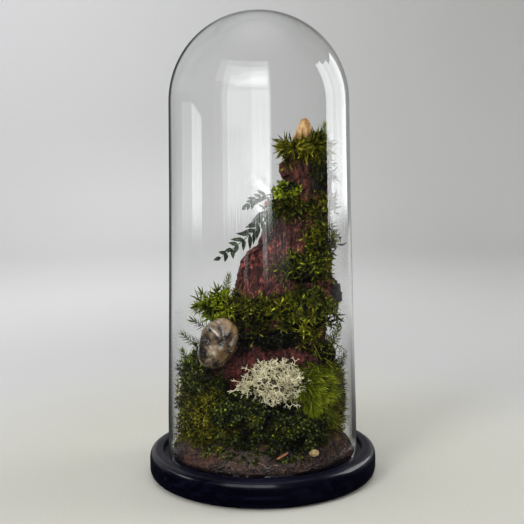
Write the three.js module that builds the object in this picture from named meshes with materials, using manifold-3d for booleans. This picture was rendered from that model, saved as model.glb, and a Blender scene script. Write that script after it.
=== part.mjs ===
// A moss garden under a tall glass cloche. A turned wooden base carries a blown glass dome, which stands
// in the base's recess. Inside are a bed of soil, an upright piece of weathered wood, a stone, clumps of
// several mosses, single leafy shoots, a tuft of reindeer lichen and three small fern fronds.
// Units are millimetres. +Z is up, the front faces -Y, and the origin is the centre of the underside.

import * as THREE from "three";
import { mergeVertices } from "three/addons/utils/BufferGeometryUtils.js";
import Module from "manifold-3d";

const wasm = await Module();
wasm.setup();

// Driving dimensions
const baseRadius = 75;
const baseHeight = 18;
const recessRadius = 66;
const recessFloor = 14;
const plateauRadius = 57;
const plateauTop = 16;
const glassFootRadius = 62.5;
const glassShoulderRadius = 57.5;
const glassWall = 2.4;
const glassTop = 302;
const soilRadius = 57.6;
const woodFoot = 30;
const woodTip = 234;
const gap = 0.35;

const vec = (x, y, z) => new THREE.Vector3(x, y, z);

// A repeatable row of random numbers from 0 to 1
function seeded(seed) {
  const modulus = 2147483647;
  let state = (seed * 7919) % modulus;
  return () => {
    state = (state * 16807) % modulus;
    return state / modulus;
  };
}

// A smooth bumpy value from -1 to 1 that changes over about `size` millimetres
function ripple(p, size, phase) {
  const u = p.x / size + phase;
  const v = p.y / size + phase * 1.7;
  const w = p.z / size + phase * 2.3;
  return (Math.sin(u * 1.9 + Math.sin(w * 1.3)) + Math.sin(v * 2.1 + Math.sin(u * 1.1))
    + Math.sin(w * 2.3 + Math.sin(v * 1.7))) / 3;
}

// Solids from geometry, and geometry from solids

function solidFrom(geometry) {
  const bare = geometry.index ? geometry.toNonIndexed() : geometry.clone();
  bare.deleteAttribute("normal");
  bare.deleteAttribute("uv");
  const merged = mergeVertices(bare, 1e-4);
  const corners = merged.index.array;
  const kept = [];
  for (let i = 0; i < corners.length; i += 3) {
    const [a, b, c] = corners.subarray(i, i + 3);
    if (a !== b && b !== c && c !== a) kept.push(a, b, c);
  }
  return new wasm.Manifold(new wasm.Mesh({
    numProp: 3,
    vertProperties: new Float32Array(merged.attributes.position.array),
    triVerts: new Uint32Array(kept),
  }));
}

function geometryFrom(solid) {
  const mesh = solid.getMesh();
  const geometry = new THREE.BufferGeometry();
  geometry.setAttribute("position", new THREE.BufferAttribute(mesh.vertProperties, 3));
  geometry.setIndex(new THREE.BufferAttribute(mesh.triVerts, 1));
  const faceted = geometry.toNonIndexed();
  faceted.computeVertexNormals();
  return faceted;
}

// A closed solid through rings of points. A ring of one point is a tip.
function solidThrough(rings) {
  const positions = [];
  const face = (a, b, c) => positions.push(...a, ...b, ...c);
  const lid = (ring, upwards) => {
    if (ring.length === 1) return;
    const middle = ring.reduce((sum, p) => sum.add(p), vec(0, 0, 0)).divideScalar(ring.length);
    ring.forEach((p, i) => {
      const next = ring[(i + 1) % ring.length];
      if (upwards) face(middle, p, next);
      else face(middle, next, p);
    });
  };
  lid(rings[0], false);
  lid(rings[rings.length - 1], true);
  for (let k = 0; k + 1 < rings.length; k++) {
    const low = rings[k];
    const high = rings[k + 1];
    const count = Math.max(low.length, high.length);
    for (let i = 0; i < count; i++) {
      const j = (i + 1) % count;
      if (high.length === 1) face(low[i], low[j], high[0]);
      else if (low.length === 1) face(low[0], high[j], high[i]);
      else {
        face(low[i], low[j], high[j]);
        face(low[i], high[j], high[i]);
      }
    }
  }
  const geometry = new THREE.BufferGeometry();
  geometry.setAttribute("position", new THREE.Float32BufferAttribute(positions, 3));
  return solidFrom(geometry);
}

// A rod, needle or blade along `points`. `widths` and `depths` are its half sizes at each point.
function rod(points, widths, depths, sides, face = vec(0, -1, 0)) {
  const rings = points.map((p, k) => {
    if (widths[k] === 0) return [p];
    const along = points[Math.min(k + 1, points.length - 1)].clone()
      .sub(points[Math.max(k - 1, 0)]).normalize();
    const across = along.clone().cross(face);
    if (across.length() < 0.05) across.crossVectors(along, vec(1, 0, 0));
    across.normalize();
    const out = along.clone().cross(across);
    return Array.from({ length: sides }, (_, i) => {
      const angle = (i / sides) * 2 * Math.PI;
      return p.clone().addScaledVector(across, Math.cos(angle) * widths[k])
        .addScaledVector(out, Math.sin(angle) * depths[k]);
    });
  });
  return solidThrough(rings);
}

// A round rod along `points`, with its half width at each point
const roundRod = (points, halves, sides) => rod(points, halves, halves, sides);

const largestBody = (solid) => solid.decompose()
  .reduce((best, body) => (body.volume() > best.volume() ? body : best));

// A rounded lump with a bumpy skin
function lump(centre, radii, { grow = 0, bumps = 0, phase = 1, detail = 2 } = {}) {
  const geometry = mergeVertices(bareSphere(detail), 1e-4);
  const position = geometry.attributes.position;
  for (let i = 0; i < position.count; i++) {
    const unit = vec().fromBufferAttribute(position, i);
    const at = unit.clone().multiply(radii);
    const swell = 1 + bumps * ripple(at, radii.x * 0.45, phase);
    at.multiplyScalar(swell).addScaledVector(unit, grow).add(centre);
    position.setXYZ(i, at.x, at.y, at.z);
  }
  return solidFrom(geometry);
}

function bareSphere(detail) {
  const sphere = new THREE.IcosahedronGeometry(1, detail);
  sphere.deleteAttribute("normal");
  sphere.deleteAttribute("uv");
  return sphere;
}

function lathe(profile, sides) {
  const points = profile.map(([r, z]) => new THREE.Vector2(r, z));
  return new THREE.LatheGeometry(points, sides).rotateX(Math.PI / 2);
}

// The turned base: rounded rim, recess for the glass and a low plateau for the soil
function woodenBase() {
  const profile = [
    [0, 0], [69, 0], [73, 1.6], [baseRadius, 5.5], [baseRadius, 9.5], [74.3, 13.2],
    [72.4, 16.2], [69.2, 17.7], [67, baseHeight], [recessRadius, 17.4],
    [recessRadius, recessFloor], [plateauRadius, recessFloor], [plateauRadius - 0.5, plateauTop],
    [0, plateauTop],
  ];
  return solidFrom(lathe(profile, 44));
}

// The dome's outer radius at a height below its shoulder
const shoulderHeight = glassTop - glassShoulderRadius;
const glassFlare = new THREE.SplineCurve([
  [recessFloor, glassFootRadius], [40, 62.2], [80, 61], [130, 59.7], [185, 58.5],
  [shoulderHeight, glassShoulderRadius],
].map(([z, r]) => new THREE.Vector2(z, r)));

// A profile that runs up the dome `inset` inside its outer face, from height `foot` to the axis
function domeProfile(inset, foot, steps) {
  const straight = glassFlare.getPoints(steps).map((p) => [p.y - inset, Math.max(p.x, foot)]);
  const radius = glassShoulderRadius - inset;
  const capSteps = 7;
  for (let i = 1; i < capSteps; i++) {
    const angle = (i / capSteps) * Math.PI / 2;
    straight.push([radius * Math.cos(angle), shoulderHeight + radius * Math.sin(angle)]);
  }
  return [...straight, [0, shoulderHeight + radius]];
}

// The blown glass dome, open below, with a rounded foot that stands in the recess
function glassDome() {
  const lipRound = 0.8;
  const outside = domeProfile(0, recessFloor + lipRound, 4);
  const inside = domeProfile(glassWall, recessFloor + lipRound, 4).reverse();
  const lip = [
    [glassFootRadius - glassWall + lipRound, recessFloor],
    [glassFootRadius - lipRound, recessFloor],
  ];
  return solidFrom(lathe([...inside, ...lip, ...outside], 32));
}

// The room inside the dome, which every planted piece is kept within
const airRoom = solidFrom(lathe([[0, plateauTop], ...domeProfile(glassWall + gap, plateauTop, 4)], 32));

// The bed of soil: a low shoulder along the glass and a steep mound round the wood
function soilMound(grow) {
  const profile = [
    [0, plateauTop - grow], [56, plateauTop - grow], [soilRadius + grow, 18], [57 + grow, 21.5 + grow * 0.5],
    [54 + grow * 0.8, 25.5 + grow], [48.5 + grow * 0.8, 31 + grow * 0.6], [43 + grow * 0.8, 39 + grow * 0.6],
    [36 + grow * 0.7, 50 + grow * 0.7], [27 + grow * 0.6, 61 + grow * 0.8], [14, 68 + grow], [0, 70 + grow],
  ];
  const geometry = lathe(profile, 26);
  const position = geometry.attributes.position;
  for (let i = 0; i < position.count; i++) {
    const p = vec().fromBufferAttribute(position, i);
    const reach = Math.hypot(p.x, p.y);
    if (p.z < 20 || reach < 1) continue;
    const raised = THREE.MathUtils.smoothstep(p.z, 20, 32);
    const offset = raised * 1.6 * ripple(p, 9, 2);
    p.x -= (p.x / reach) * Math.abs(offset);
    p.y -= (p.y / reach) * Math.abs(offset);
    position.setXYZ(i, p.x, p.y, p.z + offset);
  }
  return solidFrom(geometry);
}

// The weathered wood. Each row is a height, then how far it reaches left, right, to the front and back.
const woodSections = [
  [woodFoot, -20, 33, -22, 20], [50, -23, 36, -27, 22], [66, -27, 39, -31, 24], [78, -28, 40, -32, 25],
  [92, -23, 42, -29, 25], [106, -20, 44.5, -26, 25], [119, -18.5, 46, -24, 24], [128, -16.5, 47, -22, 22],
  [141, -14, 46.5, -21, 20], [146.5, -10.5, 46.5, -20, 19.5], [152, -3, 46.5, -19, 19],
  [158, 0, 46.5, -18, 18], [166, 3.2, 46, -17, 17], [175, 6.5, 45.5, -16, 16], [184, 10.5, 45, -15, 15],
  [192, 15, 44, -13.5, 13.5], [197, 13.4, 43.8, -13.5, 13.5], [204, 12.5, 43.2, -13, 13],
  [210.5, 16.5, 38.5, -10, 9], [217, 19.6, 35.8, -7, 6.4], [223, 22.2, 35, -5.6, 5.4],
  [229, 24.8, 33.6, -4.4, 4.2], [232.8, 26.8, 32, -2.6, 2.4],
];

function weatheredWood(grow) {
  const sides = 18;
  const rings = woodSections.map(([z, left, right, front, back]) => {
    const centre = vec((left + right) / 2, (front + back) / 2, z);
    const taper = THREE.MathUtils.smoothstep(woodTip - z, 0, 30);
    return Array.from({ length: sides }, (_, i) => {
      const angle = (i / sides) * 2 * Math.PI;
      const c = Math.cos(angle);
      const s = Math.sin(angle);
      const blockiness = 0.72;
      const p = vec(
        centre.x + Math.sign(c) * Math.abs(c) ** blockiness * (right - left) / 2,
        centre.y + Math.sign(s) * Math.abs(s) ** blockiness * (back - front) / 2,
        z,
      );
      const furrow = ripple(vec(angle * 16, z * 0.16, 0), 3, 4) + 0.7 * ripple(p, 5, 1);
      const out = vec(p.x - centre.x, p.y - centre.y, 0).normalize();
      return p.addScaledVector(out, grow + taper * 1.3 * (furrow - 0.6));
    });
  });
  if (grow) {
    rings[0].forEach((p) => { p.z -= grow; });
    rings.push([vec(29.3, 0, woodTip + 3 * grow)]);
  } else rings.push([vec(29.3, 0, woodTip)]);
  const knot = lump(vec(46.2, 0, 119.5), vec(7.6, 9.5, 10.5), { grow, bumps: 0.12, phase: 3, detail: 2 });
  const heel = lump(vec(-9, -29, 77), vec(19, 7.5, 9), { grow, bumps: 0.12, phase: 5, detail: 1 });
  const toe = lump(vec(18, -28, 82), vec(15, 7, 9), { grow, bumps: 0.12, phase: 7, detail: 1 });
  return wasm.Manifold.union([solidThrough(rings), knot, heel, toe]);
}

// Pieces are placed one after another. Each keeps clear of what was placed before it.
const garden = new THREE.Group();
const keepOuts = [];

function place(name, solid, look) {
  const mesh = new THREE.Mesh(geometryFrom(solid), new THREE.MeshStandardMaterial(look));
  mesh.name = name;
  garden.add(mesh);
}

const clearOf = (solid) => keepOuts.reduce((rest, other) => rest.subtract(other), solid);

// `room` gives the space that the piece may fill, grown by a distance
function placeClear(name, raw, room, look) {
  const tolerance = 0.12;
  const inside = raw.intersect(airRoom).intersect(room(0));
  place(name, largestBody(clearOf(inside).simplify(tolerance)), look);
  keepOuts.push(room(gap));
}

const looks = {
  blackWood: { color: 0x17161b, roughness: 0.45, metalness: 0 },
  clearGlass: { color: 0xf2f6f5, roughness: 0.03, metalness: 0, transparent: true, opacity: 0.22 },
  soil: { color: 0x2a211c, roughness: 0.95, metalness: 0 },
  redWood: { color: 0x5a2a22, roughness: 0.9, metalness: 0 },
  stone: { color: 0x7d6a55, roughness: 0.25, metalness: 0 },
  brightMoss: { color: 0x5f7d1c, roughness: 0.85, metalness: 0 },
  midMoss: { color: 0x40591a, roughness: 0.85, metalness: 0 },
  darkMoss: { color: 0x2a3f16, roughness: 0.8, metalness: 0 },
  shootGreen: { color: 0x3f5a22, roughness: 0.8, metalness: 0 },
  lichen: { color: 0xd9d3a8, roughness: 0.9, metalness: 0 },
  fern: { color: 0x33482b, roughness: 0.6, metalness: 0 },
  twig: { color: 0xa9694b, roughness: 0.8, metalness: 0 },
  chip: { color: 0xb79a72, roughness: 0.85, metalness: 0 },
};

// The vessel, the soil and the wood
place("wooden_base", woodenBase(), looks.blackWood);
place("glass_dome", glassDome(), looks.clearGlass);
place("soil_bed", largestBody(soilMound(0).subtract(weatheredWood(gap))).simplify(0.05), looks.soil);
place("weathered_wood", weatheredWood(0).simplify(0.05), looks.redWood);
keepOuts.push(soilMound(gap), weatheredWood(gap));

// The stone leans in the mosses at the left of the wood
function leaningStone(grow) {
  const blank = bareSphere(3);
  const position = blank.attributes.position;
  for (let i = 0; i < position.count; i++) {
    const unit = vec().fromBufferAttribute(position, i);
    const at = unit.clone().multiply(vec(12.6, 11, 17));
    at.multiplyScalar(1 + 0.06 * ripple(at, 7, 6)).addScaledVector(unit, grow);
    position.setXYZ(i, at.x, at.y, at.z);
  }
  const turn = new THREE.Matrix4().makeRotationFromEuler(new THREE.Euler(0.15, 0.45, 0));
  return solidFrom(blank.applyMatrix4(turn).translate(-27.2, -34.5, 95));
}
placeClear("leaning_stone", leaningStone(0), leaningStone, looks.stone);

// Ferns: a bowed stalk with leaflets in pairs
const leafletDepth = 0.4;

function frond(stalk, { pairs, length, width, from, face, seed, fold = 0.9 }) {
  const random = seeded(seed);
  const curve = new THREE.CatmullRomCurve3(stalk);
  const steps = 7;
  const spine = curve.getPoints(steps);
  const solids = [rod(spine, spine.map(() => 0.6), spine.map(() => 0.55), 4, face)];
  for (let i = 0; i < pairs; i++) {
    const t = from + (0.97 - from) * (i / (pairs - 1));
    const at = curve.getPoint(t);
    const along = curve.getTangent(t);
    const across = along.clone().cross(face).normalize();
    const size = length * Math.sin(Math.PI * (0.3 + 0.6 * (i / (pairs - 1)))) * (0.9 + 0.2 * random());
    for (const side of [-1, 1]) {
      const lean = fold * (0.85 + 0.3 * random());
      const out = across.clone().multiplyScalar(side).addScaledVector(along, lean).normalize();
      const root = at.clone().addScaledVector(out, 0.15);
      const tip = at.clone().addScaledVector(out, size).addScaledVector(face, -0.12 * size);
      const middle = at.clone().addScaledVector(out, size * 0.5).addScaledVector(face, 0.1 * size);
      const half = width * (0.9 + 0.3 * random());
      solids.push(rod([root, middle, tip], [0.4, half, 0], [0.3, leafletDepth, 0], 3, face));
    }
  }
  const endOut = curve.getTangent(1);
  const end = curve.getPoint(1);
  const endPoints = [-1, length * 0.45, length * 0.9].map((far) => end.clone().addScaledVector(endOut, far));
  solids.push(rod(endPoints, [0.5, width, 0], [0.45, leafletDepth, 0], 3, face));
  return wasm.Manifold.union(solids);
}

// The room that a leafy stalk needs: narrow round its bare foot and wide round its leaves
function sleeve(stalk, { from, wide, deep, face }) {
  const steps = 8;
  const curve = new THREE.CatmullRomCurve3(stalk);
  const spine = curve.getPoints(steps);
  spine.push(curve.getPoint(1).addScaledVector(curve.getTangent(1), wide));
  const bare = 1.2;
  const leafy = spine.map((_, i) => i / steps > from - 0.12);
  return (grow) => {
    const widths = leafy.map((open) => grow + (open ? wide : bare));
    const depths = leafy.map((open) => grow + (open ? deep : bare));
    return rod(spine, widths, depths, 6, face);
  };
}

const frondFace = vec(0.1, -1, 0.25).normalize();
const fronds = {
  fern_frond_long: {
    stalk: [
      vec(14, -12, 183.5), vec(4, -19, 181.5), vec(2.5, -21, 174), vec(-3, -21, 165.5),
      vec(-14, -20, 155.5), vec(-25, -18, 147),
    ],
    pairs: 8, length: 9.5, width: 1.5, from: 0.4, seed: 11,
  },
  fern_frond_upper: {
    stalk: [vec(17, -8.5, 186), vec(6, -14.5, 186.5), vec(-2, -16, 183.5), vec(-9, -16, 179)],
    pairs: 4, length: 8, width: 1.7, from: 0.4, seed: 12,
  },
  fern_frond_hanging: {
    stalk: [vec(14, -14, 180), vec(9, -21, 178.5), vec(7, -24, 173), vec(6.5, -24, 167)],
    pairs: 3, length: 7.5, width: 1.8, from: 0.5, seed: 13, fold: 1.6,
  },
};
for (const [name, form] of Object.entries(fronds)) {
  const room = sleeve(form.stalk, { from: form.from, wide: form.length, deep: 4, face: frondFace });
  placeClear(name, frond(form.stalk, { face: frondFace, ...form }), room, looks.fern);
}

// Lichen and moss clumps: a lumpy cushion, and each face of its open side is drawn out to a blade.
// The side that points along `facing` is open, down to the cosine `openness`.
function bladedClump({ centre, radii, facing, openness, cushion, droop = 0, fine = true, seed }) {
  const random = seeded(seed);
  const sphere = bareSphere(fine ? 2 : 1).attributes.position;
  const onCushion = (unit) => {
    const at = unit.clone().multiply(radii).multiplyScalar(cushion);
    return at.multiplyScalar(1 + 0.1 * ripple(at, radii.x * 0.45, seed)).add(centre);
  };
  const positions = [];
  for (let i = 0; i < sphere.count; i += 3) {
    const units = [0, 1, 2].map((k) => vec().fromBufferAttribute(sphere, i + k));
    const corners = units.map(onCushion);
    const outward = units[0].clone().add(units[1]).add(units[2]).normalize();
    if (outward.dot(facing) < openness) {
      positions.push(...corners[0], ...corners[1], ...corners[2]);
      continue;
    }
    const stray = vec(random() - 0.5, random() - 0.5, random() - 0.5 - droop);
    stray.multiplyScalar(fine ? 0.22 : 0.34);
    const reach = 0.88 + 0.12 * random();
    const tip = outward.add(stray).normalize().multiply(radii).multiplyScalar(reach).add(centre);
    corners.forEach((corner, k) => positions.push(...corner, ...corners[(k + 1) % 3], ...tip));
  }
  const geometry = new THREE.BufferGeometry();
  geometry.setAttribute("position", new THREE.Float32BufferAttribute(positions, 3));
  return solidFrom(geometry);
}

function placeClump(name, form) {
  const room = (grow) => lump(form.centre, form.radii.clone().multiplyScalar(1.05), { grow, detail: 1 });
  placeClear(name, bladedClump(form), room, looks[form.look]);
}

placeClump("reindeer_lichen", {
  centre: vec(4, -40.5, 71), radii: vec(22.5, 13.5, 14), facing: vec(0, -1, 0.2), openness: -0.3,
  cushion: 0.55, seed: 21, look: "lichen",
});

// Leafy shoots: an upright stem with needles in whorls

function shoot(stalk, { needle, seed }) {
  const random = seeded(seed);
  const curve = new THREE.CatmullRomCurve3(stalk);
  const solids = [roundRod(curve.getPoints(4), [0.85, 0.85, 0.85, 0.85, 0.4], 3)];
  const perWhorl = 3;
  const whorls = 3;
  for (let k = 0; k < whorls; k++) {
    const t = 0.34 + 0.64 * (k / (whorls - 1));
    const at = curve.getPoint(t);
    const along = curve.getTangent(t);
    const side = along.clone().cross(vec(0.3, 1, 0.2)).normalize();
    for (let j = 0; j < perWhorl; j++) {
      const out = side.clone().applyAxisAngle(along, (j / perWhorl + k * 0.17) * 2 * Math.PI);
      const root = at.clone().addScaledVector(out, 0.25);
      const tip = at.clone().addScaledVector(out, needle * (0.75 + 0.35 * random()))
        .addScaledVector(along, needle * (0.5 + 0.3 * t));
      solids.push(roundRod([root, tip], [0.45, 0], 3));
    }
  }
  return wasm.Manifold.union(solids);
}

const shoots = {
  shoot_crown: { stalk: [vec(36, -8, 205), vec(39.5, -9.5, 217), vec(41.5, -7, 229)], needle: 4.2, seed: 31 },
  shoot_left_top: {
    stalk: [vec(-24, -15, 116), vec(-22.5, -13, 126), vec(-20.5, -11, 134)], needle: 3.2, seed: 32,
  },
  shoot_left_upper: {
    stalk: [vec(-19, -11, 96), vec(-34, -15, 100.5), vec(-44, -16, 106.5)], needle: 3.8, seed: 33,
  },
  shoot_left_middle: {
    stalk: [vec(-32, -12, 90), vec(-43, -14, 91), vec(-50.5, -16, 97.5)], needle: 3.6, seed: 34,
  },
  shoot_left_lower: {
    stalk: [vec(-38, -22, 70), vec(-46, -22, 79), vec(-50, -21, 87)], needle: 3.4, seed: 35,
  },
  shoot_right_middle: {
    stalk: [vec(40, -14, 88), vec(47, -15, 93), vec(49.5, -15, 101)], needle: 3.2, seed: 38,
  },
  shoot_right_lower: { stalk: [vec(42, -12, 68), vec(50, -13, 74), vec(53.5, -11, 81)], needle: 3, seed: 39 },
};
for (const [name, form] of Object.entries(shoots)) {
  const wide = form.needle * 1.25;
  const room = sleeve(form.stalk, { from: 0.34, wide, deep: wide, face: vec(0, -1, 0) });
  placeClear(name, shoot(form.stalk, form), room, looks.shootGreen);
}

// Two scraps of wood on the soil's shoulder
const twigSpine = [vec(9, -54.2, 26.2), vec(11, -54.2, 27.3), vec(13.2, -53.5, 28.4), vec(15.5, -52.6, 29.6)];
const twig = (grow) => roundRod(twigSpine, [0.7, 0.8, 0.7, 0.5].map((half) => half + grow), 5);
placeClear("twig_scrap", twig(0), twig, looks.twig);
const chipLook = { bumps: 0.2, phase: 8, detail: 1 };
const chip = (grow) => lump(vec(31.5, -46.5, 27.5), vec(3.4, 2.4, 2.2), { grow, ...chipLook });
placeClear("wood_chip", chip(0), chip, looks.chip);

const facingFront = vec(0, -1, 0.4).normalize();
const facingBack = vec(0, 1, 0.4).normalize();
const facingUp = vec(0, 0, 1);
const clumps = {
  moss_crown: {
    centre: vec(28.5, -3, 214.5), radii: vec(19.5, 17, 12), facing: facingUp,
    openness: -1, cushion: 0.66, fine: false, seed: 41, look: "brightMoss",
  },
  moss_crown_side: {
    centre: vec(39.5, -7, 199), radii: vec(8.5, 11, 14), facing: vec(0.6, -0.8, 0),
    openness: -0.3, cushion: 0.72, droop: 0.5, fine: false, seed: 42, look: "darkMoss",
  },
  moss_leafy: {
    centre: vec(18.5, -13, 190.5), radii: vec(10.5, 7.5, 6.5), facing: facingFront,
    openness: -0.2, cushion: 0.74, fine: false, seed: 43, look: "brightMoss",
  },
  moss_collar: {
    centre: vec(26.5, -4, 177.5), radii: vec(23.5, 21, 12), facing: vec(0, -1, 0),
    openness: 0, cushion: 0.84, fine: false, seed: 44, look: "midMoss",
  },
  moss_drape: {
    centre: vec(36, -11, 156), radii: vec(13.5, 15, 15), facing: facingFront,
    openness: 0, cushion: 0.8, droop: 0.4, seed: 45, look: "brightMoss",
  },
  moss_drape_low: {
    centre: vec(27, -17, 138.5), radii: vec(20, 14, 14), facing: facingFront,
    openness: 0, cushion: 0.78, droop: 0.5, seed: 46, look: "brightMoss",
  },
  moss_tuft: {
    centre: vec(-28, -13, 115), radii: vec(16, 14, 13), facing: vec(-0.5, -0.3, 0.8).normalize(),
    openness: -0.6, cushion: 0.52, fine: false, seed: 47, look: "brightMoss",
  },
  moss_shelf: {
    centre: vec(-3, -20, 112), radii: vec(20, 16, 14), facing: facingFront,
    openness: 0.1, cushion: 0.82, droop: 0.4, seed: 48, look: "midMoss",
  },
  moss_shelf_right: {
    centre: vec(26, -20, 110), radii: vec(23, 17.5, 20), facing: facingFront,
    openness: 0.1, cushion: 0.82, droop: 0.5, seed: 49, look: "brightMoss",
  },
  moss_hollow: {
    centre: vec(8, -21.5, 94), radii: vec(27, 12.5, 11), facing: facingFront,
    openness: 0.2, cushion: 0.86, fine: false, seed: 50, look: "darkMoss",
  },
  moss_right_step: {
    centre: vec(39, -16, 84), radii: vec(14, 16, 14), facing: vec(0.6, -0.8, 0.2),
    openness: -0.1, cushion: 0.78, droop: 0.4, fine: false, seed: 51, look: "midMoss",
  },
  moss_cushion: {
    centre: vec(32.5, -29, 58), radii: vec(16, 18, 20), facing: facingFront,
    openness: 0, cushion: 0.88, droop: 0.3, seed: 52, look: "brightMoss",
  },
  moss_right: {
    centre: vec(44.5, -9, 53), radii: vec(14, 24, 29), facing: vec(1, -0.4, 0.2).normalize(),
    openness: 0.2, cushion: 0.88, fine: false, seed: 53, look: "midMoss",
  },
  moss_left_step: {
    centre: vec(-37, -20, 71), radii: vec(17.5, 20, 16), facing: vec(-0.6, -0.6, 0.5).normalize(),
    openness: 0.1, cushion: 0.84, fine: false, seed: 54, look: "darkMoss",
  },
  moss_left: {
    centre: vec(-33, -25.5, 43), radii: vec(21, 21, 22), facing: vec(-0.7, -0.7, 0.1).normalize(),
    openness: 0.1, cushion: 0.9, droop: 0.4, fine: false, seed: 55, look: "midMoss",
  },
  moss_front: {
    centre: vec(-8, -38, 45), radii: vec(26, 17.5, 22.5), facing: facingFront,
    openness: 0, cushion: 0.9, seed: 56, look: "darkMoss",
  },
  moss_front_right: {
    centre: vec(20, -37.5, 40), radii: vec(23, 17.5, 17.5), facing: facingFront,
    openness: 0, cushion: 0.9, seed: 57, look: "darkMoss",
  },
  moss_side_left: {
    centre: vec(-45, 8, 50), radii: vec(15, 26, 29), facing: vec(-1, 0.1, 0.3).normalize(),
    openness: 0.1, cushion: 0.9, fine: false, seed: 58, look: "midMoss",
  },
  moss_back_left: {
    centre: vec(-26, 36, 47), radii: vec(26, 21, 26), facing: facingBack,
    openness: 0, cushion: 0.9, fine: false, seed: 59, look: "darkMoss",
  },
  moss_back: {
    centre: vec(12, 40, 53), radii: vec(25, 19, 29), facing: facingBack,
    openness: 0, cushion: 0.9, fine: false, seed: 60, look: "brightMoss",
  },
  moss_back_right: {
    centre: vec(41, 25, 49), radii: vec(18, 24, 27), facing: vec(0.7, 0.7, 0.2).normalize(),
    openness: 0, cushion: 0.9, fine: false, seed: 61, look: "midMoss",
  },
  moss_back_shelf: {
    centre: vec(4, 23, 98), radii: vec(26, 14, 15), facing: facingBack,
    openness: 0, cushion: 0.84, fine: false, seed: 62, look: "midMoss",
  },
  moss_back_drape: {
    centre: vec(30, 17, 138), radii: vec(16, 11, 18), facing: facingBack,
    openness: 0, cushion: 0.84, fine: false, seed: 63, look: "brightMoss",
  },
  moss_back_collar: {
    centre: vec(24, 12, 178), radii: vec(17, 10, 11), facing: facingBack,
    openness: 0, cushion: 0.84, fine: false, seed: 64, look: "midMoss",
  },
};
for (const [name, form] of Object.entries(clumps)) placeClump(name, form);

export default garden;
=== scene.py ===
"""Looks of the glass plant terrarium: a glass dome on a black turned base over wood, stone, moss and fern."""

import itertools
import random
from functools import partialmethod
from math import atan2, copysign, cos, degrees, floor, hypot, pi, radians, sin, sqrt, tan, tau

import bmesh
import bpy
from mathutils import Matrix, Vector
from mathutils.bvhtree import BVHTree
from mathutils.noise import noise


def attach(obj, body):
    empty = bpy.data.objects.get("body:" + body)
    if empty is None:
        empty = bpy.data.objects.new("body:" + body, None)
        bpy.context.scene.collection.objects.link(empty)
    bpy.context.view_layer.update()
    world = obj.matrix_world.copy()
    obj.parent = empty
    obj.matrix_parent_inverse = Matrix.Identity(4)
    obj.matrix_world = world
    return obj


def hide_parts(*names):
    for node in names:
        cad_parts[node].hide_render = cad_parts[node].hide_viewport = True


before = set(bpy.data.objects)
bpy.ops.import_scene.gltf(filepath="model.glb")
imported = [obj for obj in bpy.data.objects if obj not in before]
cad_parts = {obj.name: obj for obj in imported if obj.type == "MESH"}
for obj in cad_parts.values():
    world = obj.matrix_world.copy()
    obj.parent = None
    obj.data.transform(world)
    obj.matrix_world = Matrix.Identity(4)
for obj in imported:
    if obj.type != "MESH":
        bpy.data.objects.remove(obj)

MM = 0.001
UP = Vector((0, 0, 1))
GOLDEN_ANGLE = radians(137.508)
MERGE = 1e-4
# The dome's foot, the thickness of its wall there, and where its round top starts, in millimetres
FOOT, FOOT_RADIUS, FOOT_WALL = 14, 62.5, 2.4
SHOULDER, TOP_RADIUS = 244.5, 57.5
# The round card overhead, and the height that the angles of lamps and cards are measured from, in metres
OVERHEAD_RADIUS = 1.58
STAGE_MIDDLE = 0.17
scene = bpy.context.scene
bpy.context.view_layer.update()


# Shader maths

class Value:
    """An output of a material's nodes, so that shader maths reads as Python."""

    def __init__(self, finish, socket):
        self.finish = finish
        self.socket = socket

    def before(self, operation, other):
        return self.finish.maths(operation, self, other)

    def after(self, operation, other):
        return self.finish.maths(operation, other, self)

    __add__ = partialmethod(before, "ADD")
    __radd__ = partialmethod(after, "ADD")
    __sub__ = partialmethod(before, "SUBTRACT")
    __rsub__ = partialmethod(after, "SUBTRACT")
    __mul__ = partialmethod(before, "MULTIPLY")
    __rmul__ = partialmethod(after, "MULTIPLY")
    __pow__ = partialmethod(before, "POWER")


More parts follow.
